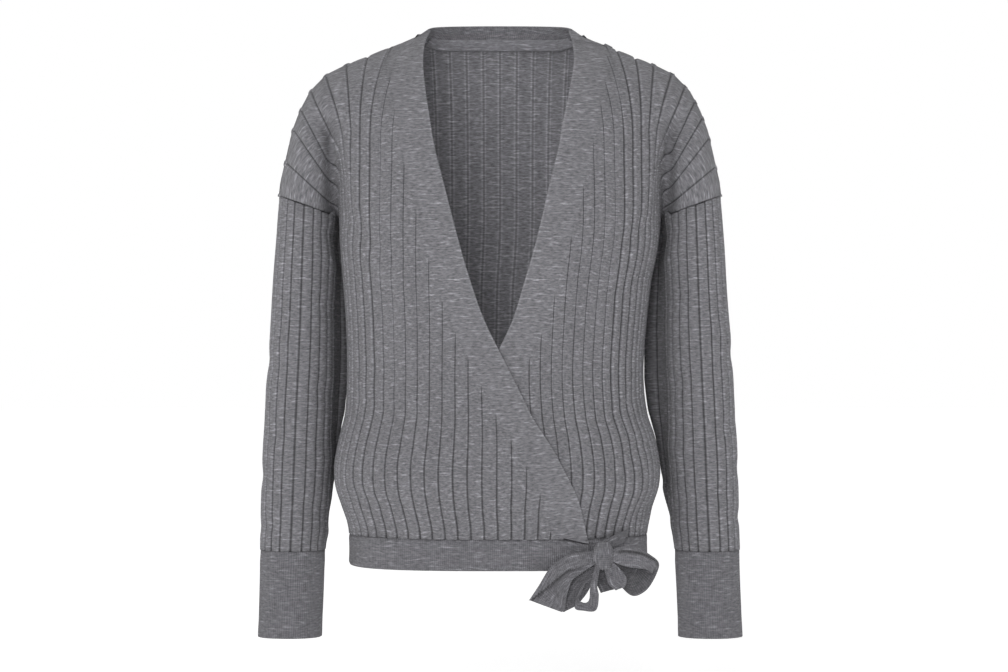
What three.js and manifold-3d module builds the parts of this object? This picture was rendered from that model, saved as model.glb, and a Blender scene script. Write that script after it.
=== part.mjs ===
// Wide-rib wrap cardigan with long cuffed sleeves, worn with no wearer and tied in a bow at the left hip.
// Millimetres, +Z up, front towards -Y, wearer's right towards -X. Origin: centre of the neck opening,
// level with the points where the shoulder seams meet the neck.
import Module from 'manifold-3d';
import * as THREE from 'three';
import * as BufferGeometryUtils from 'three/addons/utils/BufferGeometryUtils.js';

const WALL = 2.0;            // thickness of the knit
const GROOVE = 1.1;          // depth of the groove between two ribs
const GROOVE_HALF = 0.14;    // half width of a groove, as a share of one rib
const SEAM_GAP = 0.3;        // space kept between two pieces at a seam
const RIDGE_Y = 6;           // the shoulder seam lies this far behind the neck's centre plane
const BACK_RIBS = 14;        // ribs in each half of the back
const RIGHT_RIBS = 18;       // ribs from the centre line to the side seam, right front
const LEFT_RIBS = 21;        // the same on the left front, where the ribs lie closer
const RIB_SPREAD = 0.12;     // how much wider the ribs open at the centre than at the side
const SLEEVE_RIBS = 20;
const BORDER = 34;           // plain border along the V edge
const WAIST_SEAM_Z = -530;   // ribs end and the waistband starts
const HEM_Z = -562;
const UNDERARM_Z = -200;
const CREASE_TOP_Z = -98;    // above this the armpit crease has faded out
const OVERLAP_LIFT = 3.8;    // the right front lies this far out where it laps over the left
const CUFF_TOP_Z = -549;
const CUFF_END_Z = -640;
const ARM_INNER_X = 171;     // inner side of the sleeve at the underarm
const ARM_DEPTH = 48;        // half depth of the upper sleeve
const ARM_ROUND = 2.2;
const ARM_RISE = 40;         // the upper arm is at full depth where it is this wide
const CHEST_DEPTH = 115;
const BACK_DEPTH = 98;
const SHOULDER_REACH = 200;  // the chest is at full depth this far below the neck
const FRONT_SLOPE = 0.575;   // how fast the front leaves the shoulder seam
const BACK_SLOPE = 0.42;
const NECK_HALF = 75;        // half width of the neck opening
const NECK_BACK_Y = 49;      // the neckband's top edge lies this far back at its middle
const NECK_SEAM_HALF = 92;   // the neckband meets the shoulder seams this far out
const BAND_TOP_Z = 7;
const BAND_LOW_Z = -17.3;

// Torso below the shoulders: half width, sideways shift and depth of each section.
const TORSO = [
  { z: -98, half: 196, shift: 0, front: 96.7, back: 86.3, round: 2.5 },
  { z: -112, half: 181, shift: 0, front: 101, back: 89, round: 2.6 },
  { z: -128, half: 176, shift: 0, front: 105, back: 92, round: 2.6 },
  { z: -200, half: 169, shift: 0, front: 115, back: 98, round: 2.7 },
  { z: -233, half: 166, shift: -1, front: 114, back: 97, round: 2.8 },
  { z: -270, half: 161, shift: -3, front: 112, back: 94, round: 2.8 },
  { z: -314, half: 157, shift: -4, front: 109, back: 90, round: 2.8 },
  { z: -365, half: 155, shift: -5, front: 108, back: 88, round: 2.8 },
  { z: -405, half: 158, shift: -4, front: 110, back: 91, round: 2.8 },
  { z: -430, half: 165, shift: -3, front: 113, back: 96, round: 2.9 },
  { z: -458, half: 170, shift: -3, front: 116, back: 101, round: 3.0 },
  { z: -480, half: 169, shift: -3, front: 116, back: 101, round: 3.0 },
  { z: -500, half: 163, shift: -3, front: 112, back: 97, round: 2.9 },
  { z: -518, half: 158, shift: -2, front: 108, back: 93, round: 2.8 },
  { z: -530, half: 156, shift: -2, front: 106, back: 91, round: 2.8 },
  { z: -562, half: 156, shift: -2, front: 105, back: 90, round: 2.8 },
];

// Shoulder line seen from the front, from the centre of the neck out to the end of the dropped shoulder.
const SHOULDER = [
  { x: 0, z: 0 },
  { x: 76, z: -2 },
  { x: 89, z: -11 },
  { x: 105, z: -17 },
  { x: 122, z: -24 },
  { x: 156, z: -38 },
  { x: 182, z: -51 },
  { x: 198.5, z: -68 },
  { x: 209, z: -88 },
  { x: 217, z: -109 },
  { x: 225, z: -144 },
  { x: 229.4, z: -163 },
  { x: 231.5, z: -181 },
  { x: 233.5, z: -205 },
];

// Where the ribs reach the shoulder line: share of the ribs against the way along that line.
const RIB_TOPS = [
  { share: 0, front: 0, back: 0 },
  { share: 0.39, front: 60, back: 100 },
  { share: 0.555, front: 120, back: 143 },
  { share: 0.72, front: 193.5, back: 198 },
  { share: 0.89, front: 262, back: 262 },
  { share: 1, front: 332.5, back: 332.5 },
];

// Height at which the ribs near the side turn out of the armpit and over the upper arm.
const RIB_TURNS = [
  { share: 0, z: -130 },
  { share: 0.7, z: -130 },
  { share: 0.78, z: -136 },
  { share: 0.833, z: -155 },
  { share: 0.889, z: -171 },
  { share: 0.944, z: -191 },
  { share: 1, z: -200 },
];

// V edge of each front, measured from the centre line towards the piece's own side.
const V_EDGE = [
  { z: 0, right: 72, left: 72 },
  { z: -14.5, right: 77.7, left: 75 },
  { z: -32.4, right: 79.4, left: 76.5 },
  { z: -48, right: 78.9, left: 75.5 },
  { z: -76, right: 75.6, left: 70.5 },
  { z: -104.8, right: 71, left: 64.5 },
  { z: -131, right: 66.7, left: 60 },
  { z: -168, right: 57.3, left: 51 },
  { z: -231, right: 41, left: 36 },
  { z: -268, right: 30, left: 25.3 },
  { z: -308, right: 15.9, left: 13 },
  { z: -349, right: -4.2, left: -6 },
  { z: -377, right: -18.3, left: -18 },
  { z: -409, right: -34.4, left: -34 },
  { z: -437, right: -52.5, left: -52 },
  { z: -467, right: -68.5, left: -68 },
  { z: -491, right: -79.5, left: -77 },
  { z: -530, right: -89, left: -82 },
  { z: -540, right: -92, left: -84 },
];

// Sleeve sections below the armhole: outer and inner side, and depth to the front and back.
const SLEEVE = [
  { z: -181, outer: 231.5, inner: 172.5, front: 48, back: 48 },
  { z: -205, outer: 233.5, inner: 172.5, front: 48, back: 48 },
  { z: -255, outer: 237, inner: 172.5, front: 47, back: 50 },
  { z: -329, outer: 242, inner: 173, front: 45, back: 50 },
  { z: -423, outer: 248, inner: 176, front: 43, back: 46 },
  { z: -480, outer: 250.5, inner: 178, front: 42, back: 43 },
  { z: -530, outer: 251.5, inner: 182, front: 38, back: 38 },
  { z: -549, outer: 252, inner: 184, front: 33, back: 33 },
  { z: -565, outer: 252, inner: 185, front: 30, back: 30 },
  { z: -640, outer: 254, inner: 188.5, front: 28, back: 28 },
];

// How far the back of each sleeve swells inwards, behind the side of the body.
const SLEEVE_SWELL = [
  { z: -205, right: 0, left: 0 },
  { z: -222, right: 8, left: 10 },
  { z: -255, right: 13, left: 18 },
  { z: -314, right: 18.5, left: 27 },
  { z: -370, right: 20, left: 29 },
  { z: -405, right: 18, left: 26 },
  { z: -430, right: 13, left: 19 },
  { z: -458, right: 9, left: 15 },
  { z: -485, right: 9, left: 14 },
  { z: -530, right: 0, left: 0 },
];

function material(color, roughness = 0.95) {
  return new THREE.MeshStandardMaterial({ color, roughness, metalness: 0 });
}

const CARDIGAN = new THREE.Group();

function add(name, geometry, color) {
  const mesh = new THREE.Mesh(geometry, material(color));
  mesh.name = name;
  CARDIGAN.add(mesh);
}

const clamp = THREE.MathUtils.clamp;
const smoothstep = THREE.MathUtils.smoothstep;
const lerp = THREE.MathUtils.lerp;

// Smooth curve through one column of a table whose key column rises or falls steadily.
function lookUp(table, key, value, column) {
  const rising = table[table.length - 1][key] > table[0][key];
  let i = 0;
  while (i < table.length - 2 && (rising ? value > table[i + 1][key] : value < table[i + 1][key])) {
    i += 1;
  }
  const from = table[i];
  const to = table[i + 1];
  const before = table[Math.max(i - 1, 0)];
  const after = table[Math.min(i + 2, table.length - 1)];
  const span = to[key] - from[key];
  const t = clamp((value - from[key]) / span, 0, 1);
  const startSlope = (to[column] - before[column]) / (to[key] - before[key]);
  const endSlope = (after[column] - from[column]) / (after[key] - from[key]);
  const t2 = t * t;
  const t3 = t2 * t;
  return (2 * t3 - 3 * t2 + 1) * from[column] + (t3 - 2 * t2 + t) * span * startSlope
    + (3 * t2 - 2 * t3) * to[column] + (t3 - t2) * span * endSlope;
}

// Ends of the table are not bent: a straight line between its rows.
function lineUp(table, key, value, column) {
  const rising = table[table.length - 1][key] > table[0][key];
  let i = 0;
  while (i < table.length - 2 && (rising ? value > table[i + 1][key] : value < table[i + 1][key])) {
    i += 1;
  }
  const t = clamp((value - table[i][key]) / (table[i + 1][key] - table[i][key]), 0, 1);
  return lerp(table[i][column], table[i + 1][column], t);
}

const SHOULDER_WAY = SHOULDER.map(() => ({ along: 0, x: 0, z: 0 }));
SHOULDER.forEach((point, i) => {
  const last = i ? SHOULDER[i - 1] : point;
  const along = i ? SHOULDER_WAY[i - 1].along : 0;
  SHOULDER_WAY[i] = { along: along + Math.hypot(point.x - last.x, point.z - last.z), x: point.x, z: point.z };
});

// Share of the full depth that the body has reached at height z, growing from the shoulder seam down.
function slopeShare(z, slope) {
  const way = clamp(-z / SHOULDER_REACH, 0, 1);
  return (1 - (1 - way) ** 2) ** slope;
}

// Section of the torso at height z for the front (side -1) or the back (side +1).
function section(z, side) {
  if (z < CREASE_TOP_Z) {
    return {
      half: lookUp(TORSO, 'z', z, 'half'),
      shift: lookUp(TORSO, 'z', z, 'shift'),
      depth: lookUp(TORSO, 'z', z, side < 0 ? 'front' : 'back'),
      round: lookUp(TORSO, 'z', z, 'round'),
    };
  }
  const full = side < 0 ? CHEST_DEPTH : BACK_DEPTH;
  const blend = smoothstep(z, CREASE_TOP_Z, CREASE_TOP_Z + 20);
  return {
    half: lerp(TORSO[0].half, lineUp(SHOULDER, 'z', z, 'x'), blend),
    shift: 0,
    depth: full * slopeShare(z, side < 0 ? FRONT_SLOPE : BACK_SLOPE),
    round: lerp(TORSO[0].round, 2.3, blend),
  };
}

const roundedDepth = (offset, half, depth, power) => {
  const share = Math.abs(offset) / half;
  return share >= 1 ? 0 : depth * (1 - share ** power) ** (1 / power);
};

// Depth of the body at (x, z) seen from the front or back: torso and upper arm joined by a soft crease.
function bodyDepth(x, z, side) {
  const cut = section(z, side);
  const torso = roundedDepth(x - cut.shift, cut.half, cut.depth, cut.round);
  if (z < UNDERARM_Z || Math.abs(x) < ARM_INNER_X) {
    return torso;
  }
  const outer = lineUp(SHOULDER, 'z', z, 'x');
  const middle = (outer + ARM_INNER_X) / 2;
  const fullness = Math.min(1, (outer - ARM_INNER_X) / ARM_RISE);
  const arm = roundedDepth(Math.abs(x) - middle, outer - middle, ARM_DEPTH * fullness, ARM_ROUND);
  return (torso ** 4 + arm ** 4) ** 0.25;
}

// Point of the torso section at height z, a share of the way from the centre line to the side seam.
const QUARTER_STEPS = 48;
function torsoPoint(share, z, side) {
  const cut = section(z, side);
  const steps = [];
  let along = 0;
  let last = { x: 0, y: cut.depth };
  for (let i = 0; i <= QUARTER_STEPS; i += 1) {
    const angle = (i / QUARTER_STEPS) * Math.PI / 2;
    const x = cut.half * Math.sin(angle) ** (2 / cut.round);
    const y = cut.depth * Math.cos(angle) ** (2 / cut.round);
    along += Math.hypot(x - last.x, y - last.y);
    last = { x, y };
    steps.push({ along, x, y });
  }
  const way = Math.abs(share) * along;
  const x = cut.shift + Math.sign(share) * lineUp(steps, 'along', way, 'x');
  return new THREE.Vector3(x, RIDGE_Y + side * lineUp(steps, 'along', way, 'y'), z);
}

// Way across the section that a rib has reached: ribs open a little more at the centre.
const ribShare = (rib, ribs) => (rib / ribs) * (1 + RIB_SPREAD * (1 - Math.abs(rib) / ribs));

// Body surface. Rib lines run up the torso (rise 0 to 1) and over chest, crease and upper arm (rise 1 to 2).
function bodyPoint(rib, ribs, rise, side) {
  const share = clamp(rib / ribs, -1, 1);
  const across = clamp(ribShare(rib, ribs), -1, 1);
  const turnZ = lineUp(RIB_TURNS, 'share', Math.abs(share), 'z');
  if (rise <= 1) {
    return torsoPoint(across, lerp(WAIST_SEAM_Z, turnZ, rise), side);
  }
  const start = torsoPoint(across, turnZ, side);
  const along = lineUp(RIB_TOPS, 'share', Math.abs(share), side < 0 ? 'front' : 'back');
  const endX = Math.sign(rib) * lineUp(SHOULDER_WAY, 'along', along, 'x');
  const endZ = lineUp(SHOULDER_WAY, 'along', along, 'z');
  const bend = 0.5 * smoothstep(Math.abs(share), 0.66, 0.8);
  const w = 1 - (2 - rise) ** 2;
  const midX = lerp(start.x, endX, bend);
  const midZ = (start.z + endZ) / 2;
  const x = (1 - w) ** 2 * start.x + 2 * w * (1 - w) * midX + w * w * endX;
  const z = (1 - w) ** 2 * start.z + 2 * w * (1 - w) * midZ + w * w * endZ;
  const depth = lerp(Math.abs(start.y - RIDGE_Y), bodyDepth(x, z, side), smoothstep(rise, 1, 1.15));
  return new THREE.Vector3(x, RIDGE_Y + side * depth, z);
}

// Sleeve section at height z: angle 0 at the inner side, a quarter turn at the front, half a turn outside.
function sleeveSection(angle, z, hand) {
  const outer = lookUp(SLEEVE, 'z', z, 'outer');
  const inner = lookUp(SLEEVE, 'z', z, 'inner');
  const facing = Math.sin(angle) > 0 ? 'front' : 'back';
  const depth = lookUp(SLEEVE, 'z', z, facing);
  const power = 2 / ARM_ROUND;
  const cos = Math.cos(angle);
  const sin = Math.sin(angle);
  const round = (outer + inner) / 2 - Math.sign(cos) * Math.abs(cos) ** power * (outer - inner) / 2;
  const swell = lineUp(SLEEVE_SWELL, 'z', z, hand < 0 ? 'right' : 'left');
  const behind = sin < 0 && cos > 0 ? Math.sin(2 * angle) ** 2 : 0;
  const y = RIDGE_Y - Math.sign(sin) * Math.abs(sin) ** power * depth;
  return new THREE.Vector3(hand * (round - behind * swell), y, z);
}

// Directions that face out of a grid of surface points, from the neighbours of each point.
function facings(grid, wrap, flip) {
  const count = grid.length;
  return grid.map((column, c) => column.map((point, r) => {
    const left = grid[wrap ? (c + count - 1) % count : Math.max(c - 1, 0)][r];
    const right = grid[wrap ? (c + 1) % count : Math.min(c + 1, count - 1)][r];
    const below = column[Math.max(r - 1, 0)];
    const above = column[Math.min(r + 1, column.length - 1)];
    const across = new THREE.Vector3().subVectors(right, left);
    return across.cross(new THREE.Vector3().subVectors(above, below)).normalize().multiplyScalar(flip);
  }));
}

// Triangles of one skin over a grid of columns; cell(c, r) tells which cells the piece covers.
function skin(triangles, id, count, rows, cell, wrap, turned) {
  for (let c = 0; c < count - (wrap ? 0 : 1); c += 1) {
    for (let r = 0; r < rows - 1; r += 1) {
      if (!cell(c, r)) {
        continue;
      }
      const next = (c + 1) % count;
      const quad = [id(c, r), id(next, r), id(next, r + 1), id(c, r + 1)];
      if (turned) {
        quad.reverse();
      }
      triangles.push([quad[0], quad[1], quad[2]], [quad[0], quad[2], quad[3]]);
    }
  }
}

// Closed wall between an outer grid, with `fine` columns for each inner one, and a plain inner grid.
// outlines: one list of [inner column, row] corners for each open edge of the piece.
function wall({ outer, inner, fine, wrap, outlines, covers }) {
  const rows = inner[0].length;
  const points = [...outer.flat(), ...inner.flat()];
  const outerId = (c, r) => (c % outer.length) * rows + r;
  const innerId = (c, r) => outer.length * rows + (c % inner.length) * rows + r;
  const triangles = [];
  skin(triangles, outerId, outer.length, rows, (c, r) => covers(Math.floor(c / fine), r), wrap, false);
  skin(triangles, innerId, inner.length, rows, covers, wrap, true);
  outlines.forEach((corners) => {
    for (let i = 0; i < corners.length - 1; i += 1) {
      const [c0, r0] = corners[i];
      const [c1, r1] = corners[i + 1];
      const steps = Math.max(Math.abs(c1 - c0), Math.abs(r1 - r0));
      const dc = Math.sign(c1 - c0);
      const dr = Math.sign(r1 - r0);
      const parts = dc ? fine : 1;
      for (let k = 0; k < steps; k += 1) {
        const c = c0 + dc * k;
        const r = r0 + dr * k;
        const from = innerId(c, r);
        for (let p = 0; p < parts; p += 1) {
          triangles.push([from, outerId(c * fine + dc * (p + 1), r + (dc ? 0 : dr)), outerId(c * fine + dc * p, r)]);
        }
        triangles.push([from, innerId(c + dc, r + dr), outerId((c + dc) * fine, r + dr)]);
      }
    }
  });
  return solid(points, triangles);
}

// Geometry of a closed body, its faces turned to point out.
function solid(points, triangles) {
  const volume = triangles.reduce((sum, [a, b, c]) => {
    const cross = new THREE.Vector3().crossVectors(points[b], points[c]);
    return sum + points[a].dot(cross);
  }, 0);
  const geometry = new THREE.BufferGeometry().setFromPoints(points);
  geometry.setIndex(triangles.flatMap(([a, b, c]) => (volume > 0 ? [a, b, c] : [a, c, b])));
  geometry.computeVertexNormals();
  return geometry;
}

// Outer columns of a ribbed piece: groove, rib edge, rib edge for each rib, from first to last groove line.
function ribColumns(first, last, wrap) {
  const columns = [];
  for (let rib = first; rib < last; rib += 1) {
    columns.push({ rib, sunk: GROOVE });
    columns.push({ rib: rib + GROOVE_HALF, sunk: 0 });
    columns.push({ rib: rib + 1 - GROOVE_HALF, sunk: 0 });
  }
  if (!wrap) {
    columns.push({ rib: last, sunk: GROOVE });
  }
  return columns;
}

// Outer and inner grids of a piece: grooves sink from its surface, and the plain inside lies a wall deeper.
function outerAndInner(columns, fine, base, normals) {
  const outer = base.map((column, c) => column.map((point, r) => (
    point.clone().addScaledVector(normals[c][r], -columns[c].sunk))));
  const inner = base.map((column, c) => column.map((point, r) => (
    point.clone().addScaledVector(normals[c][r], -WALL)))).filter((_, c) => c % fine === 0);
  return { outer, inner };
}

const outline = (columns, rows) => [[[0, 0], [columns, 0], [columns, rows], [0, rows], [0, 0]]];
const wholeGrid = () => true;

// Keeps front pieces in front of the side and shoulder seams, and back pieces behind them.
function keepSide(grids, side) {
  [...grids.outer.flat(), ...grids.inner.flat()].forEach((point) => {
    const reach = side * (point.y - RIDGE_Y);
    point.y = RIDGE_Y + side * Math.max(reach, SEAM_GAP / 2);
  });
}

// At the bottom of the armhole the panel folds back on itself: there its wall faces down and outwards.
function easeArmpit(normals, columns, ribs, turnRow, side) {
  columns.forEach(({ rib }, c) => {
    const share = Math.abs(rib) / ribs;
    const fold = new THREE.Vector3(0, side * (1 - smoothstep(share, 0.85, 1)), -1).normalize();
    normals[c][turnRow].lerp(fold, smoothstep(share, 0.8, 0.93)).normalize();
  });
}

const RISES = [0, 0.1, 0.19, 0.3, 0.45, 0.62, 0.8, 1, 1.14, 1.36, 1.66, 2];
const TURN_ROW = RISES.indexOf(1);
const TURN_REACH = 0.7;      // a rib line cut short by the V edge has its turn row at this share of its rise
const LEAST_RISE = 0.015;    // rise kept by a rib line that starts in the border
const BORDER_ROWS = [0.5, 1];
const CORNER_SHARE = 0.555;  // the border's inner line meets the shoulder seam at this share of the ribs
const NECK_POINT_Z = -3;
const ARMHOLE_OUTER_Z = -178;
const ARMHOLE_GAP = 0.7;
const SLEEVE_ROWS = [0, 0.12, 0.3, 0.5, 0.7, 0.85, 1];
const CUFF_SIDES = 28;
const CUFF_ROWS = [0, 0.25, 1];
const BAND_ROWS = [0, 0.5, 1];
const NECK_STEPS = 16;
const BAND_END_ANGLE = 0.05;
const TAPE_END_ANGLE = 0.5;
const RIBBON = 1.8;          // thickness of the tie's knit, pressed flat

// Rise at which a rib line leaves the piece, or 2 where it reaches the shoulder seam.
function riseEnd(surface, inside) {
  let low = 0;
  let high = 2;
  if (inside(surface(high))) {
    return high;
  }
  for (let i = 0; i < 24; i += 1) {
    const middle = (low + high) / 2;
    if (inside(surface(middle))) {
      low = middle;
    } else {
      high = middle;
    }
  }
  return low;
}

// Height of the seam under the neckband.
function neckSeamZ(x) {
  return BAND_LOW_Z + 5 * smoothstep(Math.abs(x), 60, NECK_SEAM_HALF);
}

function makeBack() {
  const columns = ribColumns(-BACK_RIBS, BACK_RIBS, false);
  const base = columns.map(({ rib }) => {
    const surface = (rise) => bodyPoint(rib, BACK_RIBS, rise, 1);
    const end = riseEnd(surface, ({ x, z }) => Math.abs(x) > NECK_SEAM_HALF || z < neckSeamZ(x) - 0.8);
    return RISES.map((rise) => surface(rise <= 1 ? rise : lerp(1, end, rise - 1)));
  });
  const normals = facings(base, false, -1);
  easeArmpit(normals, columns, BACK_RIBS, TURN_ROW, 1);
  const grids = outerAndInner(columns, 3, base, normals);
  keepSide(grids, 1);
  const outlines = outline(2 * BACK_RIBS, RISES.length - 1);
  add('back', wall({ ...grids, fine: 3, wrap: false, outlines, covers: wholeGrid }), 0x74757a);
}

// Front panel. hand: -1 wearer's right, which laps over, +1 wearer's left. Rib numbers grow towards its side.
// At its foot the border turns down, so there the ribs' last row faces the way of the row below it.
function makeFront({ name, hand, ribs, edge, firstRib, lift }) {
  const corner = Math.round(CORNER_SHARE * ribs) - firstRib;
  const place = (point) => {
    const low = smoothstep(-point.z, 240, 330);
    const wide = 1 - smoothstep(hand * point.x, 70, 140);
    point.y -= lift * low * wide;
    return point;
  };
  const edgeX = (z) => lookUp(V_EDGE, 'z', z, edge);
  const columns = ribColumns(firstRib, ribs, false);
  const base = columns.map(({ rib }) => {
    const surface = (rise) => bodyPoint(hand * rib, ribs, rise, -1);
    const inside = (point) => hand * point.x > edgeX(point.z) + BORDER || rib >= firstRib + corner;
    const end = Math.max(riseEnd(surface, inside), LEAST_RISE);
    const low = Math.min(TURN_REACH * end, 1);
    const column = RISES.map((rise) => surface(rise <= 1 ? rise * low : lerp(low, end, rise - 1)));
    const top = column[column.length - 1];
    const neck = smoothstep(rib, firstRib + corner - 1, firstRib + corner);
    const foot = Math.max(1 - (rib - firstRib), 0);
    const edgeZ = lerp(lerp(top.z, WAIST_SEAM_Z, foot), NECK_POINT_Z, neck);
    BORDER_ROWS.forEach((share) => {
      const z = lerp(top.z, edgeZ, share);
      const x = lerp(top.x, hand * edgeX(edgeZ), share);
      column.push(new THREE.Vector3(x, RIDGE_Y - bodyDepth(x, z, -1), z));
    });
    return column.map(place);
  });
  const normals = facings(base, false, hand);
  columns.filter(({ rib }) => rib < firstRib + 1).forEach((_, c) => {
    normals[c][RISES.length - 1].copy(normals[c][RISES.length - 2]);
  });
  easeArmpit(normals, columns, ribs, TURN_ROW, -1);
  const grids = outerAndInner(columns, 3, base, normals);
  raiseBorder(grids.outer, base, normals);
  keepSide(grids, -1);
  const ribRows = RISES.length - 1;
  const allRows = ribRows + BORDER_ROWS.length;
  const outlines = [[
    [0, 0], [ribs - firstRib, 0], [ribs - firstRib, ribRows], [corner, ribRows],
    [corner, allRows], [0, allRows], [0, 0],
  ]];
  const covers = (c, r) => r < ribRows || c < corner;
  add(name, wall({ ...grids, fine: 3, wrap: false, outlines, covers }), 0x77787c);
}

// The plain border has no grooves: its rows keep the height of the ribs' tops.
function raiseBorder(outer, base, normals) {
  outer.forEach((column, c) => {
    for (let r = RISES.length; r < column.length; r += 1) {
      column[r].copy(base[c][r]);
    }
  });
}

// A sleeve runs from just under the armhole to the cuff, and its ribs run down it.
function sleeveZ(angle, way) {
  const share = (1 - Math.cos(angle)) / 2;
  const topZ = lerp(UNDERARM_Z, ARMHOLE_OUTER_Z, share) - ARMHOLE_GAP;
  return lerp(CUFF_TOP_Z + SEAM_GAP, topZ, 1 - way);
}

function makeTube(name, hand, ribs, fine, columns, zAt, rows, thicker, color) {
  const base = columns.map(({ rib }) => rows.map((way) => {
    const angle = (rib / ribs) * Math.PI * 2;
    return sleeveSection(angle, zAt(angle, way), hand);
  }));
  const normals = facings(base, true, -hand);
  normals.flat().forEach((normal) => normal.setZ(0).normalize());
  base.forEach((column, c) => column.forEach((point, r) => point.addScaledVector(normals[c][r], thicker)));
  const grids = outerAndInner(columns, fine, base, normals);
  const last = rows.length - 1;
  const outlines = [[[0, 0], [ribs, 0]], [[ribs, last], [0, last]]];
  add(name, wall({ ...grids, fine, wrap: true, outlines, covers: wholeGrid }), color);
}

function plainColumns(first, last) {
  return Array.from({ length: last - first }, (_, i) => ({ rib: first + i, sunk: 0 }));
}

function makeSleeves() {
  [['right', -1], ['left', 1]].forEach(([side, hand]) => {
    const columns = ribColumns(0, SLEEVE_RIBS, true);
    makeTube(`sleeve_${side}`, hand, SLEEVE_RIBS, 3, columns, sleeveZ, SLEEVE_ROWS, 0, 0x77787c);
    const cuffZ = (_, way) => lerp(CUFF_TOP_Z, CUFF_END_Z, way);
    makeTube(`cuff_${side}`, hand, CUFF_SIDES, 1, plainColumns(0, CUFF_SIDES), cuffZ, CUFF_ROWS, 0.4, 0x707177);
  });
}

// Sheet through rows of points: a closed wall whose outer face turns by flip.
function sheet(name, base, flip, thickness, color) {
  const normals = facings(base, false, flip);
  const inner = base.map((column, c) => column.map((point, r) => (
    point.clone().addScaledVector(normals[c][r], -thickness))));
  const outlines = outline(base.length - 1, base[0].length - 1);
  add(name, wall({ outer: base, inner, fine: 1, wrap: false, outlines, covers: wholeGrid }), color);
}

// Waistband piece from one share of the section to another, lifted where it laps over.
function makeWaistband(name, side, from, to, steps, lift, endShape) {
  const base = Array.from({ length: steps + 1 }, (_, i) => {
    const share = lerp(from, to, i / steps);
    return BAND_ROWS.map((way) => {
      const taper = endShape(share);
      const z = lerp(WAIST_SEAM_Z - SEAM_GAP - taper * 7, HEM_Z + taper * 12, way);
      const point = torsoPoint(share, z, side);
      const out = point.clone().sub(new THREE.Vector3(-2, RIDGE_Y, z)).normalize();
      return point.addScaledVector(out, 0.5 + lift(share));
    });
  });
  base.flat().forEach((point) => {
    point.y = RIDGE_Y + side * Math.max(side * (point.y - RIDGE_Y), SEAM_GAP / 2);
  });
  const flip = side * Math.sign(to - from);
  sheet(name, base, flip, WALL + 0.4, 0x707177);
}

function makeWaistbands() {
  const none = () => 0;
  const overLift = (share) => OVERLAP_LIFT * smoothstep(share, -0.85, -0.45);
  const narrowing = (share) => smoothstep(share, 0.24, 0.47);
  makeWaistband('waistband_back', 1, -1, 1, 28, none, none);
  makeWaistband('waistband_right', -1, -1, 0.415, 22, overLift, narrowing);
  makeWaistband('waistband_left', -1, 0.2, 1, 14, none, none);
}

// Strip along the back of the neck, from the seam with the back (way 0) to the neckband's top edge (way 1).
function neckPoint(angle, way) {
  const lowX = -NECK_SEAM_HALF * Math.cos(angle);
  const lowZ = neckSeamZ(lowX);
  const low = new THREE.Vector3(lowX, RIDGE_Y + bodyDepth(lowX, lowZ, 1), lowZ);
  const rise = Math.sqrt(Math.sin(angle));
  const topY = RIDGE_Y + (NECK_BACK_Y - RIDGE_Y) * Math.sin(angle) ** 0.8;
  const top = new THREE.Vector3(-NECK_HALF * Math.cos(angle), topY, lerp(NECK_POINT_Z, BAND_TOP_Z, rise));
  return low.lerp(top, way);
}

function neckStrip(name, endAngle, to, inset, thickness, color) {
  const base = Array.from({ length: NECK_STEPS + 1 }, (_, i) => {
    const angle = lerp(endAngle, Math.PI - endAngle, i / NECK_STEPS);
    return [0, 0.5, 1].map((way) => neckPoint(angle, way * to));
  });
  const normals = facings(base, false, -1);
  base.forEach((column, c) => column.forEach((point, r) => point.addScaledVector(normals[c][r], -inset)));
  sheet(name, base, -1, thickness, color);
}

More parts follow.
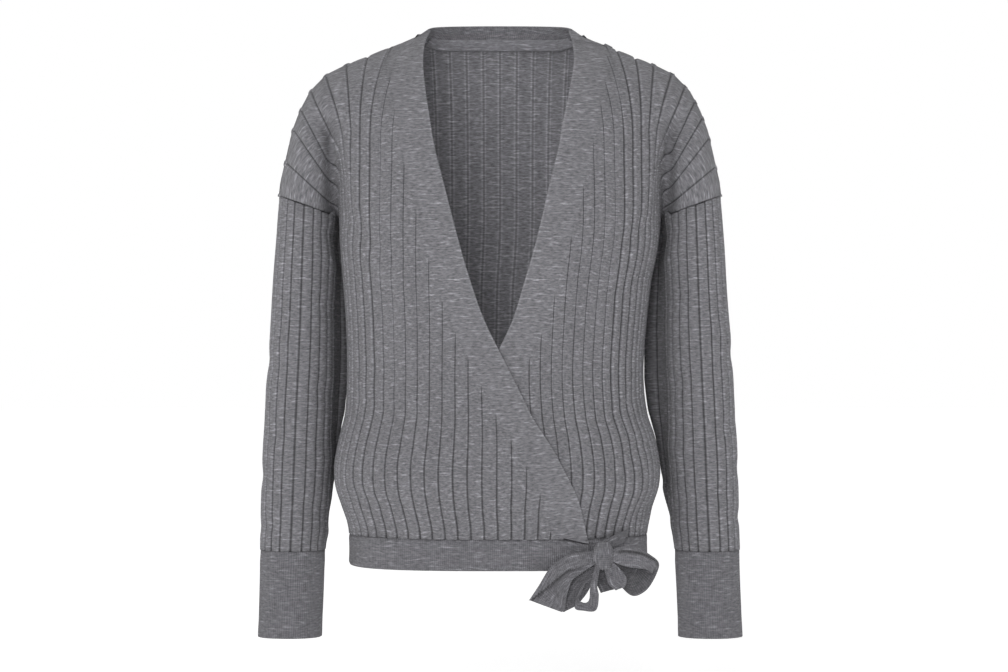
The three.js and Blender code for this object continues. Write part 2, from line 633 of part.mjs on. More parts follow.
// The tie's ribbons: both edges of the ribbon at each fold, from the knot outwards.
const TIE = {
  tie_tail_front: [
    { x1: 96, y1: -104, z1: -541, x2: 97, y2: -105, z2: -554 },
    { x1: 72.6, y1: -108, z1: -543.7, x2: 79.6, y2: -111, z2: -564.8 },
    { x1: 61.5, y1: -110, z1: -548.7, x2: 71.6, y2: -114, z2: -571.9 },
    { x1: 49.5, y1: -112, z1: -558.8, x2: 66.5, y2: -116, z2: -589 },
    { x1: 39.4, y1: -113, z1: -574.9, x2: 65.5, y2: -116, z2: -598 },
    { x1: 29.3, y1: -113, z1: -590, x2: 62.5, y2: -115, z2: -602 },
  ],
  tie_tail_back: [
    { x1: 94, y1: -101, z1: -552, x2: 97.5, y2: -101, z2: -556 },
    { x1: 81, y1: -103, z1: -565, x2: 90, y2: -103, z2: -568 },
    { x1: 71, y1: -105, z1: -580, x2: 84, y2: -105, z2: -579 },
    { x1: 66, y1: -106, z1: -591, x2: 79, y2: -106, z2: -587 },
    { x1: 64, y1: -106, z1: -603, x2: 74, y2: -106, z2: -597 },
  ],
  tie_loop_low: [
    { x1: 101, y1: -108, z1: -556, x2: 96, y2: -108, z2: -556 },
    { x1: 98, y1: -112, z1: -575, x2: 91, y2: -112, z2: -575 },
    { x1: 99.5, y1: -113, z1: -586, x2: 90, y2: -113, z2: -588 },
    { x1: 96.5, y1: -113, z1: -600, x2: 87.5, y2: -113, z2: -592 },
    { x1: 84, y1: -112, z1: -600.5, x2: 83, y2: -112, z2: -592 },
    { x1: 75.5, y1: -111, z1: -598, x2: 80, y2: -111, z2: -589 },
    { x1: 78, y1: -110, z1: -585, x2: 83, y2: -110, z2: -581 },
    { x1: 84, y1: -109, z1: -574, x2: 87, y2: -109, z2: -571 },
  ],
  tie_loop_back: [
    { x1: 101.5, y1: -100, z1: -557, x2: 107, y2: -100, z2: -558 },
    { x1: 97, y1: -102, z1: -571, x2: 114, y2: -101, z2: -568 },
    { x1: 102, y1: -101, z1: -584, x2: 118, y2: -99, z2: -580 },
  ],
  tie_loop_small: [
    { x1: 107, y1: -106, z1: -556, x2: 112, y2: -106, z2: -550 },
    { x1: 113, y1: -108, z1: -566, x2: 123, y2: -107, z2: -561 },
    { x1: 113.5, y1: -108, z1: -574, x2: 128, y2: -106, z2: -570 },
    { x1: 117, y1: -106, z1: -581, x2: 126, y2: -104, z2: -578 },
  ],
  tie_loop_large: [
    { x1: 110, y1: -104, z1: -541, x2: 110, y2: -104, z2: -550 },
    { x1: 124, y1: -108, z1: -536.5, x2: 126, y2: -112, z2: -556 },
    { x1: 138, y1: -110, z1: -538, x2: 140, y2: -114, z2: -558 },
    { x1: 151, y1: -106, z1: -545, x2: 149, y2: -109, z2: -560 },
    { x1: 160, y1: -97, z1: -554, x2: 153, y2: -98, z2: -564 },
    { x1: 158, y1: -90, z1: -568, x2: 143, y2: -88, z2: -560 },
    { x1: 148, y1: -88, z1: -583, x2: 130, y2: -86, z2: -558 },
    { x1: 134, y1: -89, z1: -588, x2: 120, y2: -88, z2: -555 },
    { x1: 120, y1: -93, z1: -575, x2: 112, y2: -93, z2: -550 },
    { x1: 108, y1: -97, z1: -556, x2: 106, y2: -97, z2: -545 },
  ],
  tie_root: [
    { x1: 130, y1: -75, z1: -522, x2: 128, y2: -76.5, z2: -535 },
    { x1: 119, y1: -87, z1: -526, x2: 117, y2: -88, z2: -538 },
    { x1: 104, y1: -97, z1: -532, x2: 103, y2: -98, z2: -543 },
  ],
};

const KNOT = { x: 104.3, y: -104, z: -546.3, halfX: 9.8, halfY: 7.5, halfZ: 14.8 };

function knotShape(extra) {
  const geometry = new THREE.SphereGeometry(1, 16, 12);
  geometry.scale(KNOT.halfX + extra, KNOT.halfY + extra, KNOT.halfZ + extra);
  geometry.translate(KNOT.x, KNOT.y, KNOT.z);
  return geometry;
}

const wasm = await Module();
wasm.setup();

function toManifold(geometry) {
  const bare = geometry.clone();
  bare.deleteAttribute('normal');
  bare.deleteAttribute('uv');
  const merged = BufferGeometryUtils.mergeVertices(bare, 1e-4);
  const corners = merged.index.array;
  const kept = [];
  for (let i = 0; i < corners.length; i += 3) {
    const [a, b, c] = corners.subarray(i, i + 3);
    if (a !== b && b !== c && c !== a) {
      kept.push(a, b, c);
    }
  }
  const vertProperties = new Float32Array(merged.attributes.position.array);
  return new wasm.Manifold(new wasm.Mesh({ numProp: 3, vertProperties, triVerts: new Uint32Array(kept) }));
}

function fromManifold(shape) {
  const mesh = shape.getMesh();
  const geometry = new THREE.BufferGeometry();
  geometry.setAttribute('position', new THREE.BufferAttribute(mesh.vertProperties, 3));
  geometry.setIndex(new THREE.BufferAttribute(mesh.triVerts, 1));
  geometry.computeVertexNormals();
  return geometry;
}

// Ribbon through the folds of one table, with a station between each two.
function ribbonGeometry(folds) {
  const table = folds.map((fold, i) => ({ ...fold, i }));
  const stations = Array.from({ length: 2 * folds.length - 1 }, (_, n) => n / 2);
  const base = stations.map((at) => {
    const edge = (n) => new THREE.Vector3(...['x', 'y', 'z'].map((axis) => lookUp(table, 'i', at, axis + n)));
    const first = edge(1);
    const second = edge(2);
    return [first, first.clone().lerp(second, 0.5), second];
  });
  const normals = facings(base, false, 1);
  const inner = base.map((column, c) => column.map((point, r) => (
    point.clone().addScaledVector(normals[c][r], -RIBBON))));
  const outlines = outline(base.length - 1, 2);
  return wall({ outer: base, inner, fine: 1, wrap: false, outlines, covers: wholeGrid });
}

function makeTie() {
  add('tie_knot', knotShape(0), 0x707177);
  const clearance = toManifold(knotShape(SEAM_GAP));
  Object.entries(TIE).forEach(([name, folds]) => {
    const ribbon = toManifold(ribbonGeometry(folds)).subtract(clearance);
    add(name, fromManifold(ribbon), 0x707177);
  });
}

makeBack();
makeFront({
  name: 'front_right', hand: -1, ribs: RIGHT_RIBS, edge: 'right', firstRib: -5, lift: OVERLAP_LIFT,
});
makeFront({
  name: 'front_left', hand: 1, ribs: LEFT_RIBS, edge: 'left', firstRib: -5, lift: 0,
});
makeSleeves();
makeWaistbands();
neckStrip('back_neckband', BAND_END_ANGLE, 1, 0, WALL, 0x707177);
neckStrip('neck_tape', TAPE_END_ANGLE, 0.42, WALL + 2 * SEAM_GAP, 1, 0x66676c);
makeTie();

export default CARDIGAN;
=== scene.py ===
"""Wide-rib wrap cardigan, worn with no wearer and tied in a bow at the left hip.

Sizes are millimetres in the garment's own frame: +Z up, front towards -Y, wearer's right towards -X.
Meshes are made in metres, with UV maps in units of 100 mm of cloth. A side is -1 for the front and
1 for the back; a hand is -1 for the wearer's right and 1 for the left.
"""
import math

import bpy
import numpy as np
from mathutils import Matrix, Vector


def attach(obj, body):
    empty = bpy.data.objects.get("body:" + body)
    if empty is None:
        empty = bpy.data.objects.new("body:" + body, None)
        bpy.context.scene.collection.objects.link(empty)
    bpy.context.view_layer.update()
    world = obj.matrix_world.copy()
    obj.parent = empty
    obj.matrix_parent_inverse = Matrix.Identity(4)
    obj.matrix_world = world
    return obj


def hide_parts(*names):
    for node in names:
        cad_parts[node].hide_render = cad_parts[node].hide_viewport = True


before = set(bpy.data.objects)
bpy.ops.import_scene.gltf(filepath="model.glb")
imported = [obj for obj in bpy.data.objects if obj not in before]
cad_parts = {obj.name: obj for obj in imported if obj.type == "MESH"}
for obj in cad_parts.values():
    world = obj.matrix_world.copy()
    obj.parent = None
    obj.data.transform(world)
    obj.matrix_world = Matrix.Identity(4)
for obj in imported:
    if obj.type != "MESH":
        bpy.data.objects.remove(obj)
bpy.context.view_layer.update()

MM = 0.001
UV_UNIT = 100.0

# Camera, lights and floor, in metres and watts.
CAMERA_PLACE = (0.0042, -2.6, -0.3245)
LENS = 88.4
SENSOR = 36.0
ROOM_LIGHT = 0.62        # how strongly the white surroundings light the cloth
WHITE = (1, 1, 1, 1)
FLOOR_Z = -0.7
FLOOR_SIZE = 14.0
FLOOR_TONE = 0.97
FLOOR_GLOW = 0.42
LIGHT_TARGET = (0, 0, -0.33)
# Name, place, size and power of each light.
LIGHTS = (
    ("front", (-0.4, -2.9, 0.35), 1.3, 38),
    ("key", (-1.5, -2.0, 1.2), 1.0, 10),
    ("side", (2.6, -0.6, 0.5), 1.0, 5),
)

KNIT_COLOR = (0.163, 0.161, 0.174)
FINE_COLOR = (0.129, 0.127, 0.139)
TAPE_COLOR = (0.185, 0.183, 0.199)

WALL = 2.0
BAND_WALL = 2.4
TAPE_WALL = 1.2
RIBBON = 1.8
SEAM_GAP = 0.3
RIDGE_Y = 6.0
BACK_RIBS = 14
RIGHT_RIBS = 18
LEFT_RIBS = 21
FIRST_FRONT_RIB = -5
RIB_SPREAD = 0.12
SLEEVE_RIBS = 20
BORDER = 34.0
BORDER_BLEND = 9.0       # length over which the ribs fade into the border
WAIST_SEAM_Z = -530.0
RIGHT_CORNER_Z = -535.0
HEM_Z = -562.0
UNDERARM_Z = -200.0
CREASE_TOP_Z = -98.0
OVERLAP_LIFT = 3.8
LIFT_FADE_Z = (240, 330)
LIFT_FADE_X = (70, 140)
CUFF_TOP_Z = -549.0
CUFF_END_Z = -640.0
CUFF_OUT = 0.4           # how far the cuff stands out from the sleeve
ARM_INNER_X = 171.0
ARM_DEPTH = 48.0
ARM_ROUND = 2.2
ARM_RISE = 40.0
CHEST_DEPTH = 115.0
BACK_DEPTH = 98.0
SHOULDER_REACH = 200.0
SHOULDER_ROUND = 2.3
FRONT_SLOPE = 0.575
BACK_SLOPE = 0.42
BAND_CENTRE_X = -2.0
BAND_OUT = 0.5           # how far the waistband stands out from the body
BAND_TOP_DROP = 7.0      # how far its top edge comes down towards the knot
BAND_FOOT_RISE = 12.0    # how far its lower edge goes up towards the knot
NECK_HALF = 75.0
NECK_BACK_Y = 49.0
NECK_SEAM_HALF = 92.0
NECK_POINT_Z = -3.0
BAND_TOP_Z = 7.0
BAND_LOW_Z = -17.3
CORNER_SHARE = 0.555
ARMHOLE_OUTER_Z = -178.0
ARMHOLE_GAP = 0.2
ARMPIT_TUCK = 7.0        # how far the sleeve's top reaches up inside the armpit
TUCK_SHARE = 0.05

GROOVE = 1.9             # depth of a groove between two ribs
GROOVE_WIDTH = 1.5       # half width of a groove
RIB_CROWN = 0.5          # how far a rib's middle stands above its edges
SEAM_RIBS = 0.3          # ribs from a seam to a groove's full depth
SEAM_GROOVE = 0.15       # share of its depth that it keeps in the seam
SEAM_LINE = 0.4          # share of its painted groove shade that it keeps in the seam
INSIDE_GROOVE = 0.45     # share of its depth that shows on the inside
PURL_RIDGE = 0.9         # height of the raised edges on the inside
PURL_PLACE = 2.0         # their distance from the middle of the groove
PLAIN_TONE = 0.5         # line value of cloth with no line on it
V_EDGE_HIGHLIGHT = 0.8          # line value on the V edge: a painted highlight along its rim
GROOVE_SHADE = 0.72       # how much darker the floor of a groove is painted: painted shade
GROOVE_HIGHLIGHT = 1.25      # how much lighter its far edge is painted: painted highlight
FOLD_SHADE = 1.4          # how much darker the fine rib is painted in a deep fold: painted shade
RIM_PINCH = 0.28         # share of its thickness that a sheet loses on each face along its rim
LOOP_FOLD_PLACE = 0.27

RIB_STATIONS = (0.0, 0.05, 0.1, 0.15, 0.22, 0.36, 0.5, 0.64, 0.78, 0.85, 0.9, 0.95)
TORSO_ROWS = 76
SHOULDER_ROWS = 40
BORDER_ROWS = 13
SLEEVE_ROWS = 90
LEAST_RISE = 0.015       # rise kept by a rib line that starts in the border
TURN_REACH = 0.7         # place of the turn row on a rib line that the V edge cuts short
EDGE_HALVINGS = 24
CUFF_COLUMNS = 112
CUFF_ROWS = 26
BAND_COLUMNS = 100
BAND_ROWS = 15
BAND_END_ANGLE = 0.05
TAPE_END_ANGLE = 0.5
NECK_COLUMNS = 121
NECK_ROWS = 15
RIBBON_STEPS = 10
RIBBON_ROWS = 33
KNOT_COLUMNS = 48
KNOT_ROWS = 33
ARC_STEPS = 65


scene = bpy.context.scene


def table(names, rows):
    """A table with named columns, as one array for each name."""
    columns = np.array(rows, dtype=float).T
    return dict(zip(names.split(), columns))


TORSO = table("z half shift front back round", [
    (-98, 196, 0, 96.7, 86.3, 2.5), (-112, 181, 0, 101, 89, 2.6),
    (-128, 176, 0, 105, 92, 2.6), (-200, 169, 0, 115, 98, 2.7),
    (-233, 166, -1, 114, 97, 2.8), (-270, 161, -3, 112, 94, 2.8),
    (-314, 157, -4, 109, 90, 2.8), (-365, 155, -5, 108, 88, 2.8),
    (-405, 158, -4, 110, 91, 2.8), (-430, 165, -3, 113, 96, 2.9),
    (-458, 170, -3, 116, 101, 3.0), (-480, 169, -3, 116, 101, 3.0),
    (-500, 163, -3, 112, 97, 2.9), (-518, 158, -2, 108, 93, 2.8),
    (-530, 156, -2, 106, 91, 2.8), (-562, 156, -2, 105, 90, 2.8),
])
SHOULDER = table("x z", [
    (0, 0), (76, -2), (89, -11), (105, -17), (122, -24), (156, -38), (182, -51),
    (198.5, -68), (209, -88), (217, -109), (225, -144), (229.4, -163), (231.5, -181), (233.5, -205),
])
SHOULDER["along"] = np.concatenate(
    [[0], np.cumsum(np.hypot(np.diff(SHOULDER["x"]), np.diff(SHOULDER["z"])))])
RIB_TOPS = table("share front back", [
    (0, 0, 0), (0.39, 60, 100), (0.555, 120, 143),
    (0.72, 193.5, 198), (0.89, 262, 262), (1, 332.5, 332.5),
])
# How far the back of each sleeve swells inwards, behind the side of the body.
SLEEVE_SWELL = table("z right left", [
    (-205, 8, 8), (-222, 14, 15),
    (-255, 16, 20), (-314, 18.5, 27),
    (-370, 20, 29), (-405, 18, 26),
    (-430, 13, 19), (-458, 9, 15),
    (-485, 9, 14), (-530, 0, 0),
])
RIB_TURNS = table("share z", [
    (0, -130), (0.7, -130), (0.78, -136), (0.833, -155), (0.889, -171), (0.944, -191), (1, -200),
])
V_EDGE = table("z right left", [
    (0, 72, 72), (-14.5, 77.7, 75), (-32.4, 79.4, 76.5), (-48, 78.9, 75.5), (-76, 75.6, 70.5),
    (-104.8, 71, 64.5), (-131, 66.7, 60), (-168, 57.3, 51), (-231, 41, 36), (-268, 30, 25.3),
    (-308, 15.9, 13), (-349, -4.2, -6), (-377, -18.3, -18), (-409, -34.4, -34), (-437, -52.5, -52),
    (-467, -68.5, -68), (-491, -79.5, -77), (-530, -89, -82), (-540, -92, -84),
])
SLEEVE = table("z outer inner front back", [
    (-181, 231.5, 172.5, 48, 48), (-205, 233.5, 172.5, 48, 48),
    (-255, 237, 172.5, 47, 50), (-329, 242, 173, 45, 50),
    (-423, 248, 176, 43, 46), (-480, 250.5, 178, 42, 43),
    (-530, 251.5, 182, 38, 38), (-549, 252, 184, 33, 33),
    (-565, 252, 185, 30, 30), (-640, 254, 188.5, 28, 28),
])


def smooth_step(value, low, high):
    t = np.clip((value - low) / (high - low), 0, 1)
    return t * t * (3 - 2 * t)


def lerp(a, b, t):
    return a + (b - a) * t


def hill(value, middle, width):
    """Smooth bump of height 1 about the middle."""
    return np.exp(-((value - middle) / width) ** 2)


def xyz(x, y, z):
    return np.stack(np.broadcast_arrays(x, y, z), axis=-1)


def unit(vectors):
    return vectors / np.maximum(np.linalg.norm(vectors, axis=-1, keepdims=True), 1e-9)


def across_grid(count):
    return np.linspace(0, 1, count)[None, :]


def look_up(rows, key, value, column):
    """Smooth curve through one column of a table whose key column rises or falls steadily."""
    sign = 1 if rows[key][-1] > rows[key][0] else -1
    keys = sign * rows[key]
    values = rows[column]
    at = np.clip(sign * np.asarray(value, dtype=float), keys[0], keys[-1])
    i = np.clip(np.searchsorted(keys, at) - 1, 0, len(keys) - 2)
    ahead = np.minimum(np.arange(len(keys)) + 1, len(keys) - 1)
    behind = np.maximum(np.arange(len(keys)) - 1, 0)
    slopes = (values[ahead] - values[behind]) / (keys[ahead] - keys[behind])
    span = keys[i + 1] - keys[i]
    t = (at - keys[i]) / span
    t2 = t * t
    t3 = t2 * t
    return ((2 * t3 - 3 * t2 + 1) * values[i] + (t3 - 2 * t2 + t) * span * slopes[i]
            + (3 * t2 - 2 * t3) * values[i + 1] + (t3 - t2) * span * slopes[i + 1])


def line_up(rows, key, value, column):
    """Straight lines through one column of a table."""
    sign = 1 if rows[key][-1] > rows[key][0] else -1
    return np.interp(sign * np.asarray(value, dtype=float), sign * rows[key], rows[column])


def slope_share(z, slope):
    """Share of its full depth that the shoulder has at height z."""
    way = np.clip(-z / SHOULDER_REACH, 0, 1)
    return (1 - (1 - way) ** 2) ** slope


def section(z, side):
    """Half width, shift, depth and roundness of the torso at height z."""
    blend = smooth_step(z, CREASE_TOP_Z, CREASE_TOP_Z + 20)
    low = z < CREASE_TOP_Z
    full = CHEST_DEPTH if side < 0 else BACK_DEPTH
    slope = FRONT_SLOPE if side < 0 else BACK_SLOPE

    def joined(column, above):
        return np.where(low, look_up(TORSO, "z", z, column), above)

    half = joined("half", lerp(TORSO["half"][0], line_up(SHOULDER, "z", z, "x"), blend))
    depth = joined("front" if side < 0 else "back", full * slope_share(z, slope))
    power = joined("round", lerp(TORSO["round"][0], SHOULDER_ROUND, blend))
    return half, joined("shift", 0), depth, power


def rounded_depth(offset, half, depth, power):
    share = np.clip(np.abs(offset) / np.maximum(half, 1e-6), 0, 1)
    return depth * (1 - share ** power) ** (1 / power)


def body_depth(x, z, side):
    """Depth of the body seen from the front or back: torso and upper arm joined by a soft crease."""
    half, shift, depth, power = section(z, side)
    torso = rounded_depth(x - shift, half, depth, power)
    outer = line_up(SHOULDER, "z", z, "x")
    middle = (outer + ARM_INNER_X) / 2
    fullness = np.clip((outer - ARM_INNER_X) / ARM_RISE, 0, 1)
    arm = rounded_depth(np.abs(x) - middle, np.maximum(outer - middle, 1e-3), ARM_DEPTH * fullness, ARM_ROUND)
    joined = (torso ** 4 + arm ** 4) ** 0.25
    return np.where((z < UNDERARM_Z) | (np.abs(x) < ARM_INNER_X), torso, joined)


def torso_point(share, z, side):
    """Point a share of the way from the centre line to the side seam of the section at height z."""
    share, z = np.broadcast_arrays(np.asarray(share, dtype=float), np.asarray(z, dtype=float))
    half, shift, depth, power = section(z, side)
    angle = np.linspace(0, math.pi / 2, ARC_STEPS)
    power = 2 / power[..., None]
    xs = half[..., None] * np.sin(angle) ** power
    ys = depth[..., None] * np.cos(angle) ** power
    steps = np.hypot(np.diff(xs), np.diff(ys))
    along = np.concatenate([np.zeros_like(steps[..., :1]), np.cumsum(steps, axis=-1)], axis=-1)
    way = np.abs(share) * along[..., -1]
    i = np.clip((along < way[..., None]).sum(axis=-1) - 1, 0, ARC_STEPS - 2)[..., None]

    def ends(values):
        return [np.take_along_axis(values, k, -1)[..., 0] for k in (i, i + 1)]

    start, end = ends(along)
    t = (way - start) / (end - start)
    return xyz(shift + np.sign(share) * lerp(*ends(xs), t), RIDGE_Y + side * lerp(*ends(ys), t), z)


def curve(start, middle, end, way):
    """Curve from start to end that bends towards the middle value."""
    return (1 - way) ** 2 * start + 2 * way * (1 - way) * middle + way * way * end


def body_point(rib, ribs, rise, side):
    """Rib lines run up the torso (rise 0 to 1), then over chest, crease and upper arm (rise 1 to 2)."""
    rib, rise = np.broadcast_arrays(np.asarray(rib, dtype=float), np.asarray(rise, dtype=float))
    share = np.clip(rib / ribs, -1, 1)
    across = np.clip(share * (1 + RIB_SPREAD * (1 - np.abs(share))), -1, 1)
    turn_z = line_up(RIB_TURNS, "share", np.abs(share), "z")
    low = torso_point(across, lerp(WAIST_SEAM_Z, turn_z, np.minimum(rise, 1)), side)
    start = torso_point(across, turn_z, side)
    along = line_up(RIB_TOPS, "share", np.abs(share), "front" if side < 0 else "back")
    end_x = np.sign(rib) * line_up(SHOULDER, "along", along, "x")
    end_z = line_up(SHOULDER, "along", along, "z")
    bend = 0.5 * smooth_step(np.abs(share), 0.66, 0.8)
    w = 1 - (2 - np.maximum(rise, 1)) ** 2
    x = curve(start[..., 0], lerp(start[..., 0], end_x, bend), end_x, w)
    z = curve(start[..., 2], (start[..., 2] + end_z) / 2, end_z, w)
    depth = lerp(np.abs(start[..., 1] - RIDGE_Y), body_depth(x, z, side), smooth_step(rise, 1, 1.15))
    high = xyz(x, RIDGE_Y + side * depth, z)
    return np.where((rise <= 1)[..., None], low, high)


def sleeve_section(angle, z, hand):
    """Angle 0 at the inner side, a quarter turn at the front; the back swells in behind the body's side."""
    outer, inner, front, back = (look_up(SLEEVE, "z", z, column)
                                 for column in ("outer", "inner", "front", "back"))
    cos = np.cos(angle)
    sin = np.sin(angle)
    depth = np.where(sin > 0, front, back)
    power = 2 / ARM_ROUND
    x = (outer + inner) / 2 - np.sign(cos) * np.abs(cos) ** power * (outer - inner) / 2
    y = RIDGE_Y - np.sign(sin) * np.abs(sin) ** power * depth
    swell = line_up(SLEEVE_SWELL, "z", z, "right" if hand < 0 else "left")
    x = x - np.where((sin < 0) & (cos > 0), np.sin(2 * angle) ** 2, 0) * swell
    return xyz(hand * x, y, z)


def facings(grid, wrap, flip):
    """Directions that face out of a grid of surface points, from the neighbours of each point."""
    if wrap:
        across = np.roll(grid, -1, axis=0) - np.roll(grid, 1, axis=0)
    else:
        across = np.gradient(grid, axis=0)
    return flip * unit(np.cross(across, np.gradient(grid, axis=1)))


def rib_lines(first, last, wrap):
    """Rib positions of the columns and, for each column, its place within its rib."""
    ribs = np.arange(first, last)
    at = (ribs[:, None] + np.array(RIB_STATIONS)).ravel()
    if not wrap:
        at = np.append(at, last)
    return at, at - np.floor(at)


def groove_distance(within, pitch):
    return np.minimum(within, 1 - within) * pitch


def rib_relief(within, pitch):
    """Height of the ribbed face: narrow grooves between softly crowned ribs."""
    groove = GROOVE * hill(groove_distance(within, pitch), 0, GROOVE_WIDTH)
    crown = RIB_CROWN * (1 - (2 * within - 1) ** 2)
    return crown - groove


def purl_relief(within, pitch):
    """Height of the raised edges where each groove shows through on the inside."""
    return PURL_RIDGE * hill(groove_distance(within, pitch), PURL_PLACE, 0.7)


def groove_shade_and_highlight(within, pitch):
    """Painted tone along a groove: painted shade in it (0) and a painted highlight on its far edge;
    PLAIN_TONE elsewhere.
    """
    signed = np.where(within > 0.5, within - 1, within) * pitch
    return PLAIN_TONE - 0.5 * hill(signed, 0, 0.9) + 0.28 * hill(signed, 1.9, 0.7)


def purl_shade_and_highlight(within, pitch):
    """Tone of the inside: a painted highlight along the raised edge on each side of every groove that shows
    through, and a little painted shade in the groove.
    """
    away = groove_distance(within, pitch)
    return PLAIN_TONE + 0.42 * hill(away, PURL_PLACE, 0.6) - 0.16 * hill(away, 0, 1.0)


def build_mesh(name, outer, inner, tone, inner_tone, uv, covers, wrap, slot):
    """Closed cloth between two equal grids of points; covers marks the cells that the piece has."""
    count, rows = outer.shape[:2]
    cells = count if wrap else count - 1
    c, r = np.nonzero(covers[:cells, :rows - 1])
    nxt = (c + 1) % count
    index = np.arange(count * rows).reshape(count, rows)
    quads = np.stack([index[c, r], index[nxt, r], index[nxt, r + 1], index[c, r + 1]], axis=-1)
    uv = np.concatenate([uv, uv[-1:] + uv[1:2] - uv[:1]])
    quad_uv = np.stack([uv[c, r], uv[c + 1, r], uv[c + 1, r + 1], uv[c, r + 1]], axis=1)
    size = count * rows
    edges = {}
    for quad_id, quad in enumerate(quads.tolist()):
        for k in range(4):
            edges[(quad[k], quad[(k + 1) % 4])] = (quad_id, k)
    rims = []
    rim_uv = []
    for (a, b), (quad_id, k) in edges.items():
        if (b, a) not in edges:
            ahead = (k + 1) % 4
            rims.append((b, a, a + size, b + size))
            rim_uv.append(quad_uv[quad_id, [ahead, k, k, ahead]])
    faces = np.concatenate([quads, quads[:, ::-1] + size, np.array(rims)])
    face_uv = np.concatenate([quad_uv, quad_uv[:, ::-1], np.array(rim_uv)])
    points = np.concatenate([outer.reshape(-1, 3), inner.reshape(-1, 3)])
    tones = np.concatenate([tone.ravel(), inner_tone.ravel()])
    # inside marks the inner faces, which the materials paint lighter: painted light.
    inside = np.concatenate([np.zeros(size), np.ones(size)])
    p0, p1, p2, p3 = (points[faces[:, k]] for k in range(4))
    volume = (p0 * (np.cross(p1, p2) + np.cross(p2, p3))).sum()
    if volume < 0:
        faces = faces[:, ::-1]
        face_uv = face_uv[:, ::-1]
    used, place = np.unique(faces, return_inverse=True)
    faces = place.reshape(faces.shape)
    return cloth_piece(name, points[used], faces.tolist(), face_uv, slot,
                       line=tones[used], inside=inside[used])


def add_object(name, data):
    made = bpy.data.objects.new(name, data)
    scene.collection.objects.link(made)
    return made


def cloth_piece(name, points, faces, face_uv, slot, **point_values):
    """Puts a mesh into the scene in place of the node of that name."""
    mesh = bpy.data.meshes.new(name + "_knit")
    mesh.from_pydata((points * MM).tolist(), [], faces)
    layer = mesh.uv_layers.new(name="cloth")
    layer.data.foreach_set("uv", (face_uv / UV_UNIT).reshape(-1))
    for label, values in point_values.items():
        attribute = mesh.attributes.new(label, "FLOAT", "POINT")
        attribute.data.foreach_set("value", values)
    mesh.polygons.foreach_set("use_smooth", [True] * len(faces))
    mesh.update()
    mesh.materials.append(MATERIALS[slot])
    piece = add_object(name + "_knit", mesh)
    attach(piece, "root")
    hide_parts(name)
    return piece


def cloth_uv(grid):
    """Lengths across and along the cloth, measured on the grid itself at its middle row and column."""
    middle = grid.shape[1] // 2
    steps = np.linalg.norm(np.diff(grid[:, middle], axis=0), axis=-1)
    across = np.concatenate([[0], np.cumsum(steps)])
    lengths = np.linalg.norm(np.diff(grid, axis=1), axis=-1)
    along = np.concatenate([np.zeros((grid.shape[0], 1)), np.cumsum(lengths, axis=1)], axis=1)
    return np.stack([np.broadcast_to(across[:, None], along.shape), along], axis=-1)


def set_inputs(node, values):
    for name, value in values.items():
        node.inputs[name].default_value = value


class NodeSheet:
    """Short calls for building one material's nodes."""

    def __init__(self, name):
        self.material = bpy.data.materials.new(name)
        self.material.use_nodes = True
        self.tree = self.material.node_tree
        self.shader = self.tree.nodes["Principled BSDF"]

    def node(self, kind, **settings):
        made = self.tree.nodes.new(kind)
        for key, value in settings.items():
            setattr(made, key, value)
        return made

    def feed(self, socket, value):
        if isinstance(value, (int, float)):
            socket.default_value = value
        else:
            self.tree.links.new(value, socket)

    def math(self, operation, a, b=0.0, c=0.0):
        made = self.node("ShaderNodeMath", operation=operation)
        for socket, value in zip(made.inputs, (a, b, c)):
            self.feed(socket, value)
        return made.outputs[0]

    def attribute(self, name):
        return self.node("ShaderNodeAttribute", attribute_name=name).outputs["Fac"]

    def cloth_place(self):
        uv = self.node("ShaderNodeUVMap", uv_map="cloth")
        split = self.node("ShaderNodeSeparateXYZ")
        self.feed(split.inputs[0], uv.outputs[0])
        return [self.math("MULTIPLY", split.outputs[k], UV_UNIT) for k in (0, 1)]

    def noise(self, across, along, length, height, detail=2.0, roughness=0.5, seed=0.0):
        """Noise of about 0 to 1 in patches of length by height, in mm of cloth."""
        place = self.node("ShaderNodeCombineXYZ")
        self.feed(place.inputs[0], self.math("DIVIDE", across, length))
        self.feed(place.inputs[1], self.math("DIVIDE", along, height))
        self.feed(place.inputs[2], seed)
        made = self.node("ShaderNodeTexNoise", noise_dimensions="3D")
        set_inputs(made, {"Scale": 1.0, "Detail": detail, "Roughness": roughness})
        self.feed(made.inputs["Vector"], place.outputs[0])
        return made.outputs["Fac"]

    def wave(self, position, length):
        """Sine of a position in mm, with the given wave length in mm."""
        return self.math("SINE", self.math("MULTIPLY", position, 2 * math.pi / length))

    def factor(self, value, amount, base=1.0):
        """The base where the value is 0, and the amount more where it is 1."""
        return self.math("MULTIPLY_ADD", value, amount, base)

    def spread(self, value, amount):
        """Turns 0 to 1 noise into a factor about 1."""
        return self.factor(self.math("SUBTRACT", value, 0.5), amount)

    def above(self, value, level):
        return self.math("MAXIMUM", self.math("SUBTRACT", value, level), 0.0)

    def times(self, first, *others):
        for other in others:
            first = self.math("MULTIPLY", first, other)
        return first

    def paint(self, color, shade):
        scale = self.node("ShaderNodeVectorMath", operation="SCALE")
        scale.inputs[0].default_value = color
        self.feed(scale.inputs["Scale"], shade)
        self.feed(self.shader.inputs["Base Color"], scale.outputs[0])

    def raise_bump(self, height, distance):
        bump = self.node("ShaderNodeBump")
        set_inputs(bump, {"Distance": distance, "Strength": 1.0})
        self.feed(bump.inputs["Height"], height)
        self.feed(self.shader.inputs["Normal"], bump.outputs["Normal"])


def wool_finish(sheet, roughness):
    set_inputs(sheet.shader, {
        "Roughness": roughness,
        "Specular IOR Level": 0.2,
        "Sheen Weight": 0.12,
        "Sheen Roughness": 0.6,
    })


